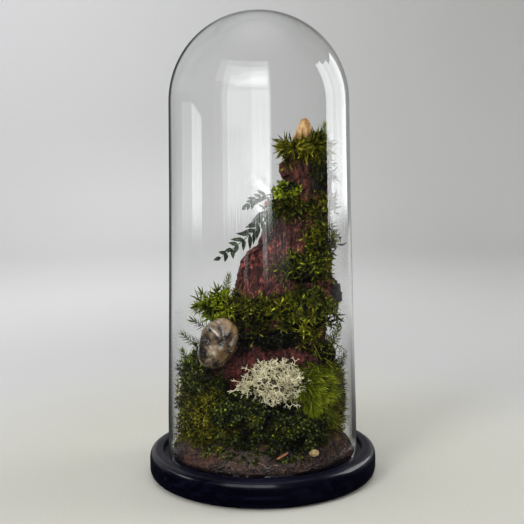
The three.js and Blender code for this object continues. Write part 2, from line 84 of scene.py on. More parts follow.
class Finish:
    """A material under construction."""

    def __init__(self, name):
        self.material = bpy.data.materials.new(name)
        self.material.use_nodes = True
        self.tree = self.material.node_tree
        self.tree.nodes.clear()

    def node(self, kind, sockets=None, output=0, **settings):
        """Adds a node: its settings first, then the values or links of its sockets."""
        made = self.tree.nodes.new("ShaderNode" + kind)
        for key, value in settings.items():
            setattr(made, key, value)
        for key, value in (sockets or {}).items():
            if isinstance(value, Value):
                self.tree.links.new(value.socket, made.inputs[key])
            else:
                made.inputs[key].default_value = value
        return Value(self, made.outputs[output] if made.outputs else None)

    def maths(self, operation, *values):
        return self.node("Math", dict(enumerate(values)), operation=operation)

    def place(self, *scale):
        """The piece's own coordinates in metres, stretched by three factors if they are given."""
        at = self.node("TexCoord", output=3)
        if not scale:
            return at
        return self.node("Mapping", {"Vector": at, "Scale": scale})

    def place_aside(self):
        """The piece's coordinates, shifted so that a second pattern doesn't follow the first."""
        return self.node("Mapping", {"Vector": self.place(), "Location": (0.31, 0.17, 0.05)})

    def axis(self, number):
        """One coordinate of the piece, in metres."""
        return self.node("SeparateXYZ", {0: self.place()}, number)

    def radius(self):
        """The distance from the upright axis, in metres."""
        x, y = self.axis(0), self.axis(1)
        return (x * x + y * y) ** 0.5

    def noise(self, scale, detail=3.0, rough=0.55, at=None):
        sockets = {"Vector": at or self.place(), "Scale": scale, "Detail": detail, "Roughness": rough}
        return self.node("TexNoise", sockets)

    def cells(self, scale, at=None, feature="F1"):
        return self.node("TexVoronoi", {"Vector": at or self.place(), "Scale": scale}, feature=feature)

    def step(self, value, low, high, to_low=0.0, to_high=1.0):
        """A smooth step of value from low to high."""
        sockets = {0: value, 1: low, 2: high, 3: to_low, 4: to_high}
        return self.node("MapRange", sockets, interpolation_type="SMOOTHSTEP")

    def mix(self, factor, first, second):
        """From a first tone to a second; a tone is a node's or three numbers from 0 to 255."""
        pair = [tone if isinstance(tone, Value) else colour(*tone) for tone in (first, second)]
        return self.node("Mix", {0: factor, 6: pair[0], 7: pair[1]}, 2, data_type="RGBA")

    def times(self, tone, level):
        """A tone that is dimmed or raised by a level."""
        return self.node("Mix", {0: 1.0, 6: tone, 7: level}, 2, data_type="RGBA", blend_type="MULTIPLY")

    def ramp(self, value, *stops):
        made = self.node("ValToRGB", {0: value})
        elements = made.socket.node.color_ramp.elements
        while len(elements) < len(stops):
            elements.new(0.5)
        for element, (place, tone) in zip(elements, stops):
            element.position = place
            element.color = colour(*tone)
        return made

    def attribute(self, name):
        return self.node("Attribute", output=2, attribute_name=name)

    def light_path(self, name):
        return self.node("LightPath", output=name)

    def bump(self, height, depth, strength=1.0):
        """A normal from a height between 0 and 1 that stands for depth in metres."""
        return self.node("Bump", {"Height": height, "Distance": depth, "Strength": strength})

    def either(self, factor, first, second):
        """The first shader where factor is 0, and the second where it is 1."""
        return self.node("MixShader", {0: factor, 1: first, 2: second})

    def show(self, shader):
        """Ends the material, which shows a shader."""
        self.node("OutputMaterial", {"Surface": shader})
        return self.material

    def surface(self, **sockets):
        names = {key.replace("_", " "): value for key, value in sockets.items()}
        return self.show(self.node("BsdfPrincipled", names))

    def light_only(self, tint, level):
        """Light that a card of the stage gives without hiding what is behind the card."""
        glow = self.node("Emission", {"Color": self.times(tint, level), "Strength": 1.0})
        see_through = self.node("BsdfTransparent")
        return self.show(self.node("AddShader", {0: glow, 1: see_through}))


def colour(red, green, blue):
    """A linear colour from the everyday scale of 0 to 255."""
    def linear(level):
        level = level / 255
        return level / 12.92 if level <= 0.04045 else ((level + 0.055) / 1.055) ** 2.4
    return (linear(red), linear(green), linear(blue), 1.0)


# Materials

def black_wood():
    """Black stained wood under a satin lacquer, with the turning rings on its rim."""
    f = Finish("black_wood")
    ring_pitch = 5200.0
    grain = f.noise(260, 6, 0.62, f.place(0.08, 1, 1))
    patches = f.noise(34, 4)
    radius, height = f.radius(), f.axis(2)
    rings = f.maths("SINE", radius * ring_pitch)
    on_rim = f.step(rings, 0.2, 0.9) * f.step(height, 0.0165, 0.0178) * 0.5
    body = f.mix(f.step(grain, 0.45, 0.7), (3, 3, 14), (15, 14, 32))
    body = f.mix(f.step(patches, 0.5, 0.75) * 0.45, body, (18, 18, 36))
    body = f.mix(on_rim, body, (34, 34, 46))
    return f.surface(
        Base_Color=body,
        Roughness=f.step(patches, 0.3, 0.7, 0.26, 0.38),
        Specular_IOR_Level=0.07,
        Coat_Weight=f.step(height, 0.0135, 0.0155) * f.step(radius, 0.0705, 0.0718) * 0.45,
        Coat_Roughness=0.14,
        Normal=f.bump(rings * 0.25 + grain * 0.75, 0.00012, 0.5),
    )


def clear_glass():
    """Clear glass with a painted dark outline for the shade along its edges, wider and darker on the left.
    Light that lit or bounced off the planting passes straight through.
    """
    f = Finish("clear_glass")
    glass = f.node("BsdfPrincipled", {
        "Base Color": (0.995, 1, 0.997, 1),
        "Roughness": 0.0,
        "IOR": 1.47,
        "Transmission Weight": 1.0,
    })
    clear = f.node("BsdfTransparent", {"Color": (0.97, 0.98, 0.975, 1)})
    shade = f.node("BsdfDiffuse", {"Color": (0.03, 0.035, 0.035, 1)})
    bounced = f.light_path("Is Shadow Ray") + f.light_path("Glossy Depth") + f.light_path("Diffuse Depth")
    # Painted shade: a dark outline where the glass turns edge-on, on its first surface only, wider and darker
    # on the left.
    slant = f.node("LayerWeight", {"Blend": 0.5}, "Facing")
    left = f.step(f.axis(0), 0, -0.05)
    near_side = f.step(f.light_path("Transmission Depth"), 0.5, 0)
    edge = f.step(slant + left * 0.14, 0.86, 0.97) * (0.42 + left * 0.56) * near_side
    glass_with_painted_edge = f.either(edge, glass, shade)
    return f.show(f.either(f.maths("GREATER_THAN", bounced, 0.5), glass_with_painted_edge, clear))


def damp_soil():
    """Dark damp soil with reddish fibre and pale grit."""
    f = Finish("soil")
    lumps = f.noise(420, 6, 0.7)
    patch = f.noise(70, 3)
    grit = f.cells(900)
    body = f.mix(f.step(lumps, 0.35, 0.7), (4, 3, 3), (82, 54, 43))
    body = f.mix(f.step(patch, 0.52, 0.68) * 0.55, body, (100, 56, 40))
    body = f.mix(f.step(patch, 0.5, 0.38) * 0.75, body, (10, 8, 12))
    body = f.mix(f.step(grit, 0.18, 0.06) * f.step(lumps, 0.48, 0.56), body, (186, 172, 160))
    return f.surface(
        Base_Color=body,
        Roughness=f.step(patch, 0.3, 0.7, 0.55, 0.95),
        Normal=f.bump(lumps, 0.0009, 0.9),
    )


def root_fibre():
    """Fine dry root fibres on the soil."""
    f = Finish("root_fibre")
    along = f.noise(160, 2)
    tone = f.mix(f.step(along, 0.4, 0.6), (70, 40, 30), (176, 150, 130))
    return f.surface(Base_Color=tone, Roughness=0.8)


def fibrous_wood():
    """Red-brown weathered wood: grainy, with dark cracks, a brown top under bark, a bare pale tip and painted
    shade for a hollow on its right side.
    """
    f = Finish("red_wood")
    grain = f.noise(430, 6, 0.72, f.place(1, 1, 0.5))
    fibres = f.noise(900, 4, 0.6, f.place(1, 1, 0.1))
    patches = f.noise(70, 4)
    height = f.axis(2)
    both = grain * 0.6 + fibres * 0.4
    body = f.ramp(
        both,
        (0.4, (8, 3, 3)),
        (0.475, (42, 16, 15)),
        (0.54, (104, 42, 36)),
        (0.62, (192, 108, 88)),
    )
    body = f.mix(f.step(patches, 0.48, 0.62) * 0.5, body, (44, 25, 18))
    uncracked = f.step(both, 0.42, 0.6)
    foot = f.mix(uncracked, (12, 3, 3), (106, 40, 32))
    body = f.mix(f.step(height, 0.1, 0.085) * 0.85, body, foot)
    bark = f.mix(uncracked, (10, 4, 2), (102, 48, 30))
    body = f.mix(f.step(height, 0.184, 0.19) * 0.9, body, bark)
    # Painted shade: a near-black patch high on the right side, for the shade in a hollow.
    right = f.step(f.axis(0), 0.03, 0.0325) * f.step(f.axis(0), 0.0435, 0.042)
    painted_hollow_shade = right * f.step(height, 0.183, 0.188) * f.step(height, 0.212, 0.204)
    body = f.mix(painted_hollow_shade * 0.95, body, (6, 3, 2))
    bare = f.step(height + grain * 0.006, 0.217, 0.2195)
    pale = f.ramp(
        grain * 0.6 + patches * 0.4,
        (0.4, (92, 56, 28)),
        (0.46, (150, 104, 58)),
        (0.54, (200, 156, 100)),
        (0.62, (226, 192, 142)),
    )
    body = f.mix(bare, body, pale)
    return f.surface(
        Base_Color=body,
        Roughness=f.step(both, 0.4, 0.62, 0.95, 0.6),
        Specular_IOR_Level=0.3,
        Normal=f.bump(both, 0.002, 1.0),
    )


def dark_knot():
    """The rough, blackened knot on the wood's right side."""
    f = Finish("dark_knot")
    crust = f.cells(420)
    lumps = f.noise(300, 5, 0.65)
    body = f.mix(f.step(lumps, 0.4, 0.62), (8, 6, 6), (56, 42, 38))
    return f.surface(Base_Color=body, Roughness=0.85, Normal=f.bump(crust * 0.5 + lumps * 0.5, 0.002, 1.0))


def polished_stone():
    """A glossy brown and grey stone with ochre patches, dark veins and pale lines painted as highlights along
    the edges of its chipped facets.
    """
    f = Finish("stone")
    clouds = f.noise(95, 6, 0.62)
    warp = f.noise(60, 3, 0.5, f.place_aside())
    veins = f.noise(150, 5, 0.7, f.place(1, 0.6, 1.6))
    chips = f.cells(150.0, f.place(1, 0.7, 0.6), "DISTANCE_TO_EDGE")
    body = f.ramp(
        clouds,
        (0.36, (24, 20, 18)),
        (0.46, (62, 54, 46)),
        (0.56, (136, 114, 90)),
        (0.68, (216, 204, 180)),
    )
    side = f.step(f.axis(0) + (warp - 0.5) * 0.05, -0.03, -0.014)
    body = f.mix(side * f.step(clouds, 0.42, 0.6) * 0.7, body, (126, 88, 40))
    body = f.mix(f.step(veins, 0.6, 0.72) * 0.5, body, (54, 40, 36))
    # Painted highlight: pale lines along the edges of the chipped facets.
    body = f.mix(f.step(chips, 0.02, 0.0) * f.step(veins, 0.5, 0.6) * 0.7, body, (226, 222, 212))
    return f.surface(
        Base_Color=body,
        Roughness=f.step(veins, 0.35, 0.7, 0.1, 0.3),
        Coat_Weight=0.9,
        Coat_Roughness=0.05,
        Normal=f.bump(f.step(chips, 0, 0.5) * 0.75 + veins * 0.25, 0.0022, 0.8),
    )


def leaf_finish(name, root, body, tip, dry, roughness, dry_share=0.35, shine=0.07):
    """Small leaves: dark at the root as painted shade, and light at the tip, partly their own paler green and
    partly painted light shining through them; with lighter, darker and drier patches.
    """
    f = Finish(name)
    along = f.attribute("tip")
    patches = f.noise(75, 3)
    fine = f.noise(620, 2, 0.5, f.place_aside())
    # Painted shade and light: tones run from the dark root to the light tip along the tip layer.
    tone = f.mix(f.step(along, 0.0, 0.55), root, body)
    tone = f.mix(f.step(along, 0.45, 1.0) * f.step(fine, 0.3, 0.6), tone, tip)
    tone = f.mix(f.step(patches, 0.5, 0.68) * f.step(fine, 0.42, 0.62) * dry_share, tone, dry)
    tone = f.mix(f.step(patches, 0.58, 0.38) * 0.62, tone, root)
    return f.surface(
        Base_Color=tone,
        Roughness=f.step(fine, 0.3, 0.7, roughness, roughness + 0.2),
        Specular_IOR_Level=shine,
    )


def pale_lichen():
    """Dry cream branches, with painted shade that makes them greyer towards their roots and dark over the
    clump's core.
    """
    f = Finish("lichen")
    along = f.attribute("tip")
    mottle = f.noise(700, 4)
    tone = f.mix(f.step(along, 0.0, 0.2), (40, 32, 22), (150, 136, 98))
    tone = f.mix(f.step(along, 0.2, 0.8), tone, (232, 224, 190))
    tone = f.mix(f.step(mottle, 0.5, 0.75) * 0.5, tone, (196, 180, 130))
    return f.surface(Base_Color=tone, Roughness=0.85, Normal=f.bump(mottle, 0.0002, 0.6))


def bare_scrap(name, dark, light):
    """A small scrap of bare wood with fine grain."""
    f = Finish(name)
    grain = f.noise(1400, 4, 0.6, f.place(0.2, 1, 1))
    tone = f.mix(f.step(grain, 0.35, 0.7), dark, light)
    return f.surface(Base_Color=tone, Roughness=0.8, Normal=f.bump(grain, 0.0002, 0.7))


# Tones of the root, dark as painted shade, the body, the tip, lit partly with painted light, and dry leaves,
# then roughness, share of dry leaves and shine
LEAF_TONES = {
    "crown_moss": ((9, 8, 1), (104, 104, 4), (246, 238, 92), (160, 120, 26), 0.4),
    "bright_moss": ((5, 6, 1), (86, 94, 4), (220, 220, 62), (136, 112, 22), 0.42),
    "leafy_moss": ((8, 12, 1), (156, 172, 24), (250, 255, 150), (120, 116, 30), 0.38),
    # shade_moss: dark moss whose tones are darkened further as painted shade for the hollow it fills.
    "shade_moss": ((2, 2, 1), (18, 20, 2), (82, 86, 22), (70, 48, 18), 0.3, 0.3, 0.08),
    "mid_moss": ((4, 4, 1), (80, 84, 4), (222, 222, 62), (134, 100, 26), 0.42),
    "dark_moss": ((2, 3, 1), (38, 50, 2), (168, 186, 44), (104, 72, 22), 0.26, 0.3, 0.13),
    "cushion_moss": ((3, 5, 1), (150, 166, 8), (255, 255, 112), (168, 160, 28), 0.36),
    "olive_moss": ((8, 8, 2), (104, 104, 6), (214, 208, 60), (150, 104, 30), 0.44),
    "fern_leaf": ((14, 21, 14), (36, 50, 32), (80, 100, 66), (60, 70, 44), 0.42),
    "shoot_needles": ((44, 44, 14), (96, 116, 30), (170, 188, 84), (140, 120, 50), 0.4),
}
LEAVES = {name: leaf_finish(name, *tones) for name, tones in LEAF_TONES.items()}


def plain_backdrop():
    """The pale floor and wall, with painted light and shade; mirror images see the front half dark, so that
    only the cards show in them.
    """
    f = Finish("backdrop")
    tooth = f.noise(500, 3)
    x, y, z, radius = f.axis(0), f.axis(1), f.axis(2), f.radius()
    painted_lit_wall, painted_shaded_wall, painted_lit_floor, painted_shaded_floor, near_floor = [
        f.mix(tooth, *pair)
        for pair in (
            ((227, 227, 229), (233, 233, 234)),
            ((173, 173, 171), (178, 178, 175)),
            ((194, 194, 195), (202, 202, 202)),
            ((176, 176, 175), (184, 184, 183)),
            ((184, 183, 176), (194, 193, 184)),
        )
    ]
    # Painted light and shade: the left side lighter, the right side darker.
    side = f.step(x, -0.5, 0.6)
    ground = f.mix(f.step(radius, 0.14, 0.34), near_floor, f.mix(side, painted_lit_floor, painted_shaded_floor))
    tone = f.mix(f.step(z, 0.5, 0.0), f.mix(side, painted_lit_wall, painted_shaded_wall), ground)
    # Painted light and shade: the floor lighter away from the object and darker near it, the high wall darker,
    # and a painted strip of light low down, a little left of the middle.
    painted_light_lift = f.step(z, 0.45, 0.0, -0.2, 0.2) - f.step(radius, 0.75, 0.3) * 0.2
    painted_light_near_glass = f.step(f.maths("ABSOLUTE", x + 0.15), 0.5, 0.0) * f.step(z, 0.25, 0.05, 0.1, 1.2)
    tone = f.times(tone, 1 + painted_light_lift * (0.45 - side * 0.3 + painted_light_near_glass))
    matt = f.node("BsdfDiffuse", {"Color": tone})
    dim = f.node("BsdfDiffuse", {"Color": (0.03, 0.03, 0.03, 1)})
    mirrored = f.maths("GREATER_THAN", f.light_path("Glossy Depth"), 0.5)
    in_front = f.step(y + 0.3 * f.step(z, 0.15, 0.0), 0.8, 0.3)
    return f.show(f.either(mirrored * in_front, matt, dim))


def streaky_glow(name, brightness, streaks, fade_low, fade_high, wave, depth):
    """The light of a card, for mirror images only: upright streaks that fade towards its foot.

    Depth 0: the outer side of the glass mirrors it; 1: both its sides do; 2: what is behind the glass does."""
    f = Finish(name)
    x, y, z = f.axis(0), f.axis(1), f.axis(2)
    turn = f.maths("ARCTAN2", x, 0 - y)
    wavy = turn + (f.noise(5, 2, 0.5, f.place(1, 1, 0.35)) - 0.5) * 0.05
    folds, threads = [
        f.node("TexNoise", {"W": wavy * pitch, "Detail": 1.0}, noise_dimensions="1D")
        for pitch in (9.0, 34.0)
    ]
    fade = f.step(z + (folds - 0.5) * wave, fade_low, fade_high)
    passed = f.light_path("Transmission Depth")
    seen = f.step(passed, 1.4, 1.6) if depth == 2 else f.step(passed, depth + 0.6, depth + 0.4)
    streaky = 1 - streaks + streaks * f.step(folds * 0.35 + threads * 0.65, 0.38, 0.6)
    level = streaky * fade * seen * brightness
    return f.light_only((0.97, 0.98, 1, 1), level * f.step(z, 0.26, 0.18, 1.0, 1.25))


def overhead_glow():
    """Soft light from above, for mirror images only."""
    f = Finish("overhead_glow")
    return f.light_only((1, 1, 1, 1), f.step(f.radius(), OVERHEAD_RADIUS, 0.0) * 0.75)


# Mesh helpers; all shapes are worked in millimetres

def to_mesh(name, bm):
    """Ends a bmesh as a mesh."""
    mesh = bpy.data.meshes.new(name)
    bm.to_mesh(mesh)
    bm.free()
    return mesh


def linked(name, data):
    """A new object of the scene for some data."""
    made = bpy.data.objects.new(name, data)
    scene.collection.objects.link(made)
    return made


def to_object(name, bm, materials, smooth=True):
    """Ends a bmesh as an object of the scene."""
    mesh = to_mesh(name, bm)
    for material in materials:
        mesh.materials.append(material)
    mesh.polygons.foreach_set("use_smooth", [smooth] * len(mesh.polygons))
    return linked(name, mesh)


def add_piece(name, bm, materials, slot, *nodes, smooth=True):
    """Turns a bmesh in millimetres into a finished piece that stands for CAD nodes."""
    bmesh.ops.scale(bm, vec=(MM, MM, MM), verts=bm.verts)
    made = to_object(name, bm, materials, smooth)
    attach(made, "root")
    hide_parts(*nodes)


def join(bm, part):
    """Moves the faces of another bmesh into bm."""
    mesh = to_mesh("part", part)
    bm.from_mesh(mesh)
    bpy.data.meshes.remove(mesh)


def turned(profile, steps, merge=MERGE):
    """A closed round shape from points (radius, height)."""
    bm = bmesh.new()
    verts = [bm.verts.new((r, 0, z)) for r, z in profile]
    for pair in zip(verts, verts[1:]):
        bm.edges.new(pair)
    bmesh.ops.spin(
        bm, geom=bm.verts[:] + bm.edges[:], cent=(0, 0, 0), axis=UP, angle=tau, steps=steps, use_merge=True
    )
    bmesh.ops.remove_doubles(bm, verts=bm.verts, dist=merge)
    bmesh.ops.recalc_face_normals(bm, faces=bm.faces)
    return bm


def wrapped(bm, around, along, surface):
    """A grid laid over surface(u, v), where u runs once round and v from end to end; seam and poles merge."""
    made = bmesh.ops.create_grid(bm, x_segments=around, y_segments=along, size=0.5)["verts"]
    for vert in made:
        vert.co = surface(vert.co.x + 0.5, vert.co.y + 0.5)
    bmesh.ops.remove_doubles(bm, verts=made, dist=MERGE)


def close_up(bm):
    """Fills what is open and turns every face outwards."""
    rims = [edge for edge in bm.edges if edge.is_boundary]
    if rims:
        bmesh.ops.holes_fill(bm, edges=rims, sides=0)
    bmesh.ops.recalc_face_normals(bm, faces=bm.faces)


def second_finish(verts):
    """Gives the faces at some vertices the second material of their piece."""
    for face in {face for vert in verts for face in vert.link_faces}:
        face.material_index = 1


def stretched(way, radii):
    """A vector stretched along the three axes."""
    return Vector([way[i] * radii[i] for i in range(3)])


def outward(way, radii):
    """The way out of an ellipsoid, where the unit sphere's is way."""
    return Vector([way[i] / radii[i] for i in range(3)]).normalized()


def scatter(rng, spread):
    """A random vector with that spread along each axis."""
    return Vector([rng.gauss(0, spread) for _ in range(3)])


def aimed(heading, turn=0.0):
    """The turn that points +Z along heading, after a turn about +Z."""
    return heading.to_track_quat("Z", "Y").to_matrix().to_4x4() @ Matrix.Rotation(turn, 4, "Z")


def smooth_line(points, steps):
    """Points on a smooth line through the given ones, steps of them in each stretch."""
    ends = [points[0] * 2 - points[1], *points, points[-1] * 2 - points[-2]]
    line = []
    for a, b, c, d in zip(ends, ends[1:], ends[2:], ends[3:]):
        square, cube = a * 2 - b * 5 + c * 4 - d, b * 3 - a - c * 3 + d
        for step in range(steps):
            t = step / steps
            line.append((b * 2 + (c - a) * t + square * t * t + cube * t * t * t) * 0.5)
    line.append(points[-1])
    return line


def between(rows, key):
    """The row of numbers at key, in a table sorted by its first column."""
    if key <= rows[0][0]:
        return rows[0][1:]
    for low, high in zip(rows, rows[1:]):
        if key <= high[0]:
            t = (key - low[0]) / (high[0] - low[0])
            return tuple(a + (b - a) * t for a, b in zip(low[1:], high[1:]))
    return rows[-1][1:]


def on_line(line, share):
    """The point at a share of a line of points, and the way it runs there."""
    place = share * (len(line) - 1)
    index = min(int(place), len(line) - 2)
    start, end = line[index], line[index + 1]
    return start.lerp(end, place - index), (end - start).normalized()


def stalk(bm, line, thick, thin, sides=5):
    """A round stalk along a line of points."""
    def surface(u, v):
        at, ahead = on_line(line, v)
        side = ahead.orthogonal().normalized()
        across = ahead.cross(side)
        radius = (thick + (thin - thick) * v) * (0 if v in (0, 1) else 1)
        return at + (side * cos(u * tau) + across * sin(u * tau)) * radius
    wrapped(bm, sides, len(line) - 1, surface)


# The dome, base, soil, wood and stone

def glass_profile():
    """Outline of the blown dome: up the outside, over the top and down the inside, where it is thinnest."""
    flare = [(FOOT, FOOT_RADIUS), (40, 62.2), (80, 61), (130, 59.7), (185, 58.5), (SHOULDER, TOP_RADIUS)]
    walls = [(FOOT, FOOT_WALL), (60, 2.2), (120, 1.8), (SHOULDER, 1.5), (SHOULDER + TOP_RADIUS, 1.3)]
    heights = [14.8 + (SHOULDER - 14.8) * i / 16 for i in range(17)]
    outside = [(between(flare, z)[0], z) for z in heights]
    cap = [radians(90 * i / 22) for i in range(1, 23)]
    over = [(TOP_RADIUS * cos(a), SHOULDER + TOP_RADIUS * sin(a)) for a in cap]
    inner = [(TOP_RADIUS - between(walls, SHOULDER + TOP_RADIUS * sin(a))[0], a) for a in reversed(cap)]
    under = [(r * cos(a), SHOULDER + r * sin(a)) for r, a in inner]
    inside = [(r - between(walls, z)[0], z) for r, z in reversed(outside)]
    foot = [(FOOT_RADIUS - in_from, FOOT + up) for in_from, up in ((2.1, 0.15), (1.2, 0), (0.3, 0.15))]
    return [*outside, *over[:-1], (0, over[-1][1]), (0, under[0][1]), *under[1:], *inside, *foot, outside[0]]


def make_dome():
    bm = turned(glass_profile(), 128)
    add_piece("clear_dome", bm, [clear_glass()], "clear_glass", "glass_dome")


def make_base():
    wide, high = 75, 18
    rim = [(69, 0), (73.2, 1.4), (wide, 5), (wide, 11.5), (74.7, 14.2), (73.7, 16.4), (71.8, 17.6)]
    rim += [(69.4, high), (67, high)]
    points = smooth_line([Vector((r, 0, z)) for r, z in rim], 5)
    outer = [(min(p.x, wide), min(max(p.z, 0), high)) for p in points]
    recess = [(66.4, 17.8), (66, 17.3), (66, 14.4), (65.7, FOOT)]
    raised = [(57.3, FOOT), (57, 14.3), (56.6, 15.8), (56.2, 16), (0, 16)]
    bm = turned([(0, 0), (67.8, 0), *outer, *recess, *raised], 144)
    add_piece("turned_base", bm, [black_wood()], "black_wood", "wooden_base")


# Sections of the wood: height, then its left, right, front and back
WOOD = [
    (30, -20, 33, -22, 20), (50, -23, 36, -27, 22), (66, -27, 39, -31, 24), (78, -28, 40, -32, 25),
    (92, -23, 42, -29, 25), (106, -20, 44.5, -26, 25), (119, -18.5, 46, -24, 24), (128, -16.5, 47, -22, 22),
    (141, -14, 46.5, -21, 20), (146.5, -10.5, 46.5, -20, 19.5), (152, -3, 46.5, -19, 19),
    (158, 0, 46.5, -18, 18), (166, 3.2, 46, -17, 17), (175, 6.5, 45.5, -16, 16), (184, 10.5, 45, -15, 15),
    (192, 15, 44, -13.5, 13.5), (197, 13.4, 43.8, -13.5, 13.5), (204, 12.5, 43.2, -13, 13),
    (210.5, 16.5, 38.5, -10, 9), (217, 19.6, 35.8, -7, 6.4), (223, 22.2, 35, -5.6, 5.4),
    (229, 24.8, 33.6, -4.4, 4.2), (232.8, 26.8, 32, -2.6, 2.4),
]
WOOD_FOOT, WOOD_TIP = 30, 234
# Patterns on the wood: scale across and along it, then shift across and along
WOOD_NOISE = [
    (0.16, 0.018, 0, 0), (0.42, 0.05, 5, 0), (1.3, 0.16, 0, 9), (0.55, 0.34, 0, 20), (0.9, 0.6, 3, 40),
]


def wood_surface(u, v):
    """A point on the weathered wood: its sections, then flutes, fibres and cracks."""
    z = WOOD_FOOT + (WOOD_TIP - WOOD_FOOT) * v
    left, right, front, back = between(WOOD, z)
    shut = min(1.0, v / 0.004) * min(1.0, max(0.0, (WOOD_TIP - z) / 1.4)) ** 0.5
    angle = u * tau
    wide, deep = [copysign(abs(c) ** 0.72, c) for c in (cos(angle), sin(angle))]
    spread = Vector(((right - left) / 2 * wide, (back - front) / 2 * deep, 0)) * shut
    at = Vector(((left + right) / 2, (front + back) / 2, z)) + spread
    flutes, ridges, fibres, pits, grit = [
        noise(Vector((at.x * across + aside, at.y * across, z * along + up)))
        for across, along, aside, up in WOOD_NOISE
    ]
    depth = -1.4 + flutes * 1.6 + ridges * 1.7 + fibres * 0.8 + grit * 0.9 + min(0.0, pits + 0.1) * 3.2
    taper = min(1.0, max(0.2, (238 - z) / 60))
    return at + spread.normalized() * min(depth, 0.8) * taper * shut


def lump(bm, centre, radii, detail, coarse, fine, seed):
    """A closed lump with coarse and fine roughness."""
    made = bmesh.ops.create_icosphere(bm, subdivisions=detail, radius=1)["verts"]
    for vert in made:
        out = vert.co.copy()
        rough = coarse * noise(out * 2.2 + Vector((seed, 0, 0)))
        rough += fine * noise(out * 7 + Vector((seed, 5, 0)))
        vert.co = Vector(centre) + Vector([out[i] * radii[i] * (1 + rough) for i in range(3)])
    return made


# Plates of bark: middle, size, tilt in degrees
PLATES = [
    ((16.5, -11, 201), (8, 5, 5), -25), ((24, -12, 199.5), (7, 5, 6), -30),
    ((18.5, -11.5, 194.5), (9, 5, 5.5), -28), ((27, -11.5, 193), (6.5, 5, 7), -20),
    ((44, -8, 193), (3.4, 6, 12), 3), ((44.4, -7, 183), (3.4, 6, 10), -3),
    ((33.5, -16.5, 127), (8, 6, 9), 10), ((37, -15, 119), (9, 6, 8), -14), ((29, -18, 118), (7, 5, 7), 20),
]


def plate(bm, centre, size, tilt, seed):
    """A blocky plate of bark with broken faces."""
    part = bmesh.new()
    bmesh.ops.create_cube(part, size=1)
    bmesh.ops.subdivide_edges(part, edges=part.edges[:], cuts=9, use_grid_fill=True)
    turn = Matrix.Rotation(radians(tilt), 3, "Y")
    for vert in part.verts:
        at = stretched(vert.co, size)
        round_off = 1 - 0.16 * (vert.co.length / 0.87) ** 4
        rough = 0.13 * noise(at * 0.28 + Vector((seed, 0, 0)))
        rough += 0.09 * noise(at * 0.9 + Vector((0, seed, 0)))
        vert.co = Vector(centre) + turn @ (at * (round_off + rough))
    join(bm, part)


def make_wood():
    bm = bmesh.new()
    wrapped(bm, 200, 230, wood_surface)
    close_up(bm)
    lump(bm, (-9, -28, 76), (18, 7, 8.5), 5, 0.5, 0.35, 3)
    lump(bm, (18, -27, 81), (14, 6.5, 8.5), 5, 0.5, 0.35, 8)
    for seed, row in enumerate(PLATES):
        plate(bm, *row, seed * 7)
    second_finish(lump(bm, (45.4, 0, 119.5), (7.4, 8.9, 9.9), 5, 0.14, 0.2, 5))
    add_piece("fibrous_wood", bm, [fibrous_wood(), dark_knot()], "red_wood", "weathered_wood")


STONE_FACETS = [
    (-0.6, -0.8, 0.2), (0.5, -0.8, 0.5), (0.1, -0.9, -0.5), (-0.9, -0.1, -0.3), (0.9, -0.3, -0.2),
    (-0.3, -0.5, 0.9), (0.6, 0.6, 0.4), (-0.5, 0.8, 0.1), (0.2, 0.5, -0.9),
]
STONE_RADII = (12.8, 11.2, 17.2)


def make_stone():
    bm = bmesh.new()
    turn = Matrix.Rotation(0.45, 3, "Y") @ Matrix.Rotation(0.15, 3, "X")
    facets = [Vector(way).normalized() for way in STONE_FACETS]
    for vert in lump(bm, (0, 0, 0), STONE_RADII, 5, 0.07, 0.012, 12):
        out = Vector([vert.co[i] / STONE_RADII[i] for i in range(3)])
        cut = max(out.dot(way) for way in facets)
        flat = 1 - 0.85 * max(0.0, cut - 0.84)
        vert.co = turn @ (vert.co * flat) + Vector((-27.2, -34.5, 95))
    add_piece("polished_stone", bm, [polished_stone()], "stone", "leaning_stone")


# Outline of the soil: radius, height
SOIL = [
    (0, 70), (14, 68), (27, 61), (36, 50), (43, 39), (48.5, 31), (54, 25.5), (57, 21.5), (57.6, 18),
    (56, 16.1),
]


def soil_surface(u, v):
    """A point on the soil, from its foot to its top."""
    rows = [(i / (len(SOIL) - 1), r, z) for i, (r, z) in enumerate(SOIL)]
    r, z = between(rows, 1 - v)
    angle = u * tau
    at = Vector((r * cos(angle), r * sin(angle), z))
    rough = noise(at * 0.16) * 1.6 + noise(at * 0.9) * 0.5
    return at + Vector((0, 0, rough * min(1.0, max(0.0, (z - 17) / 5))))


def make_soil():
    bm = bmesh.new()
    wrapped(bm, 150, 60, soil_surface)
    close_up(bm)
    rng = random.Random(41)
    grain = bmesh.new()
    lump(grain, (0, 0, 0), (1, 0.85, 0.8), 1, 0.5, 0.3, 2)
    crumb = to_mesh("crumb", grain)
    loose = bmesh.new()
    for _ in range(1100):
        angle = rng.uniform(0, tau)
        at = soil_surface(angle / tau, rng.uniform(0.08, 0.4))
        size = rng.uniform(0.35, 1.2)
        spin = Vector((rng.random(), rng.random(), rng.random() + 0.1)).normalized()
        plant(loose, crumb, at, Matrix.Rotation(rng.uniform(0, 6), 4, spin), size)
    for _ in range(170):
        start, ahead = rng.uniform(0, 1), rng.uniform(-0.022, 0.022)
        low, high = rng.uniform(0.1, 0.3), rng.uniform(0.1, 0.32)
        line = [soil_surface(start + ahead * t, low + (high - low) * t) for t in (0, 0.25, 0.5, 0.75, 1)]
        line = [at + Vector((at.x, at.y, 12)).normalized() * rng.uniform(0.1, 0.5) for at in line]
        stalk(loose, line, rng.uniform(0.1, 0.2), 0.06, 3)
    for face in loose.faces:
        face.material_index = 1 if len(face.verts) == 4 or face.calc_area() < 0.02 else 0
    join(bm, loose)
    keep_all_in(bm)
    add_piece("crumbly_soil", bm, [damp_soil(), root_fibre()], "soil", "soil_bed")


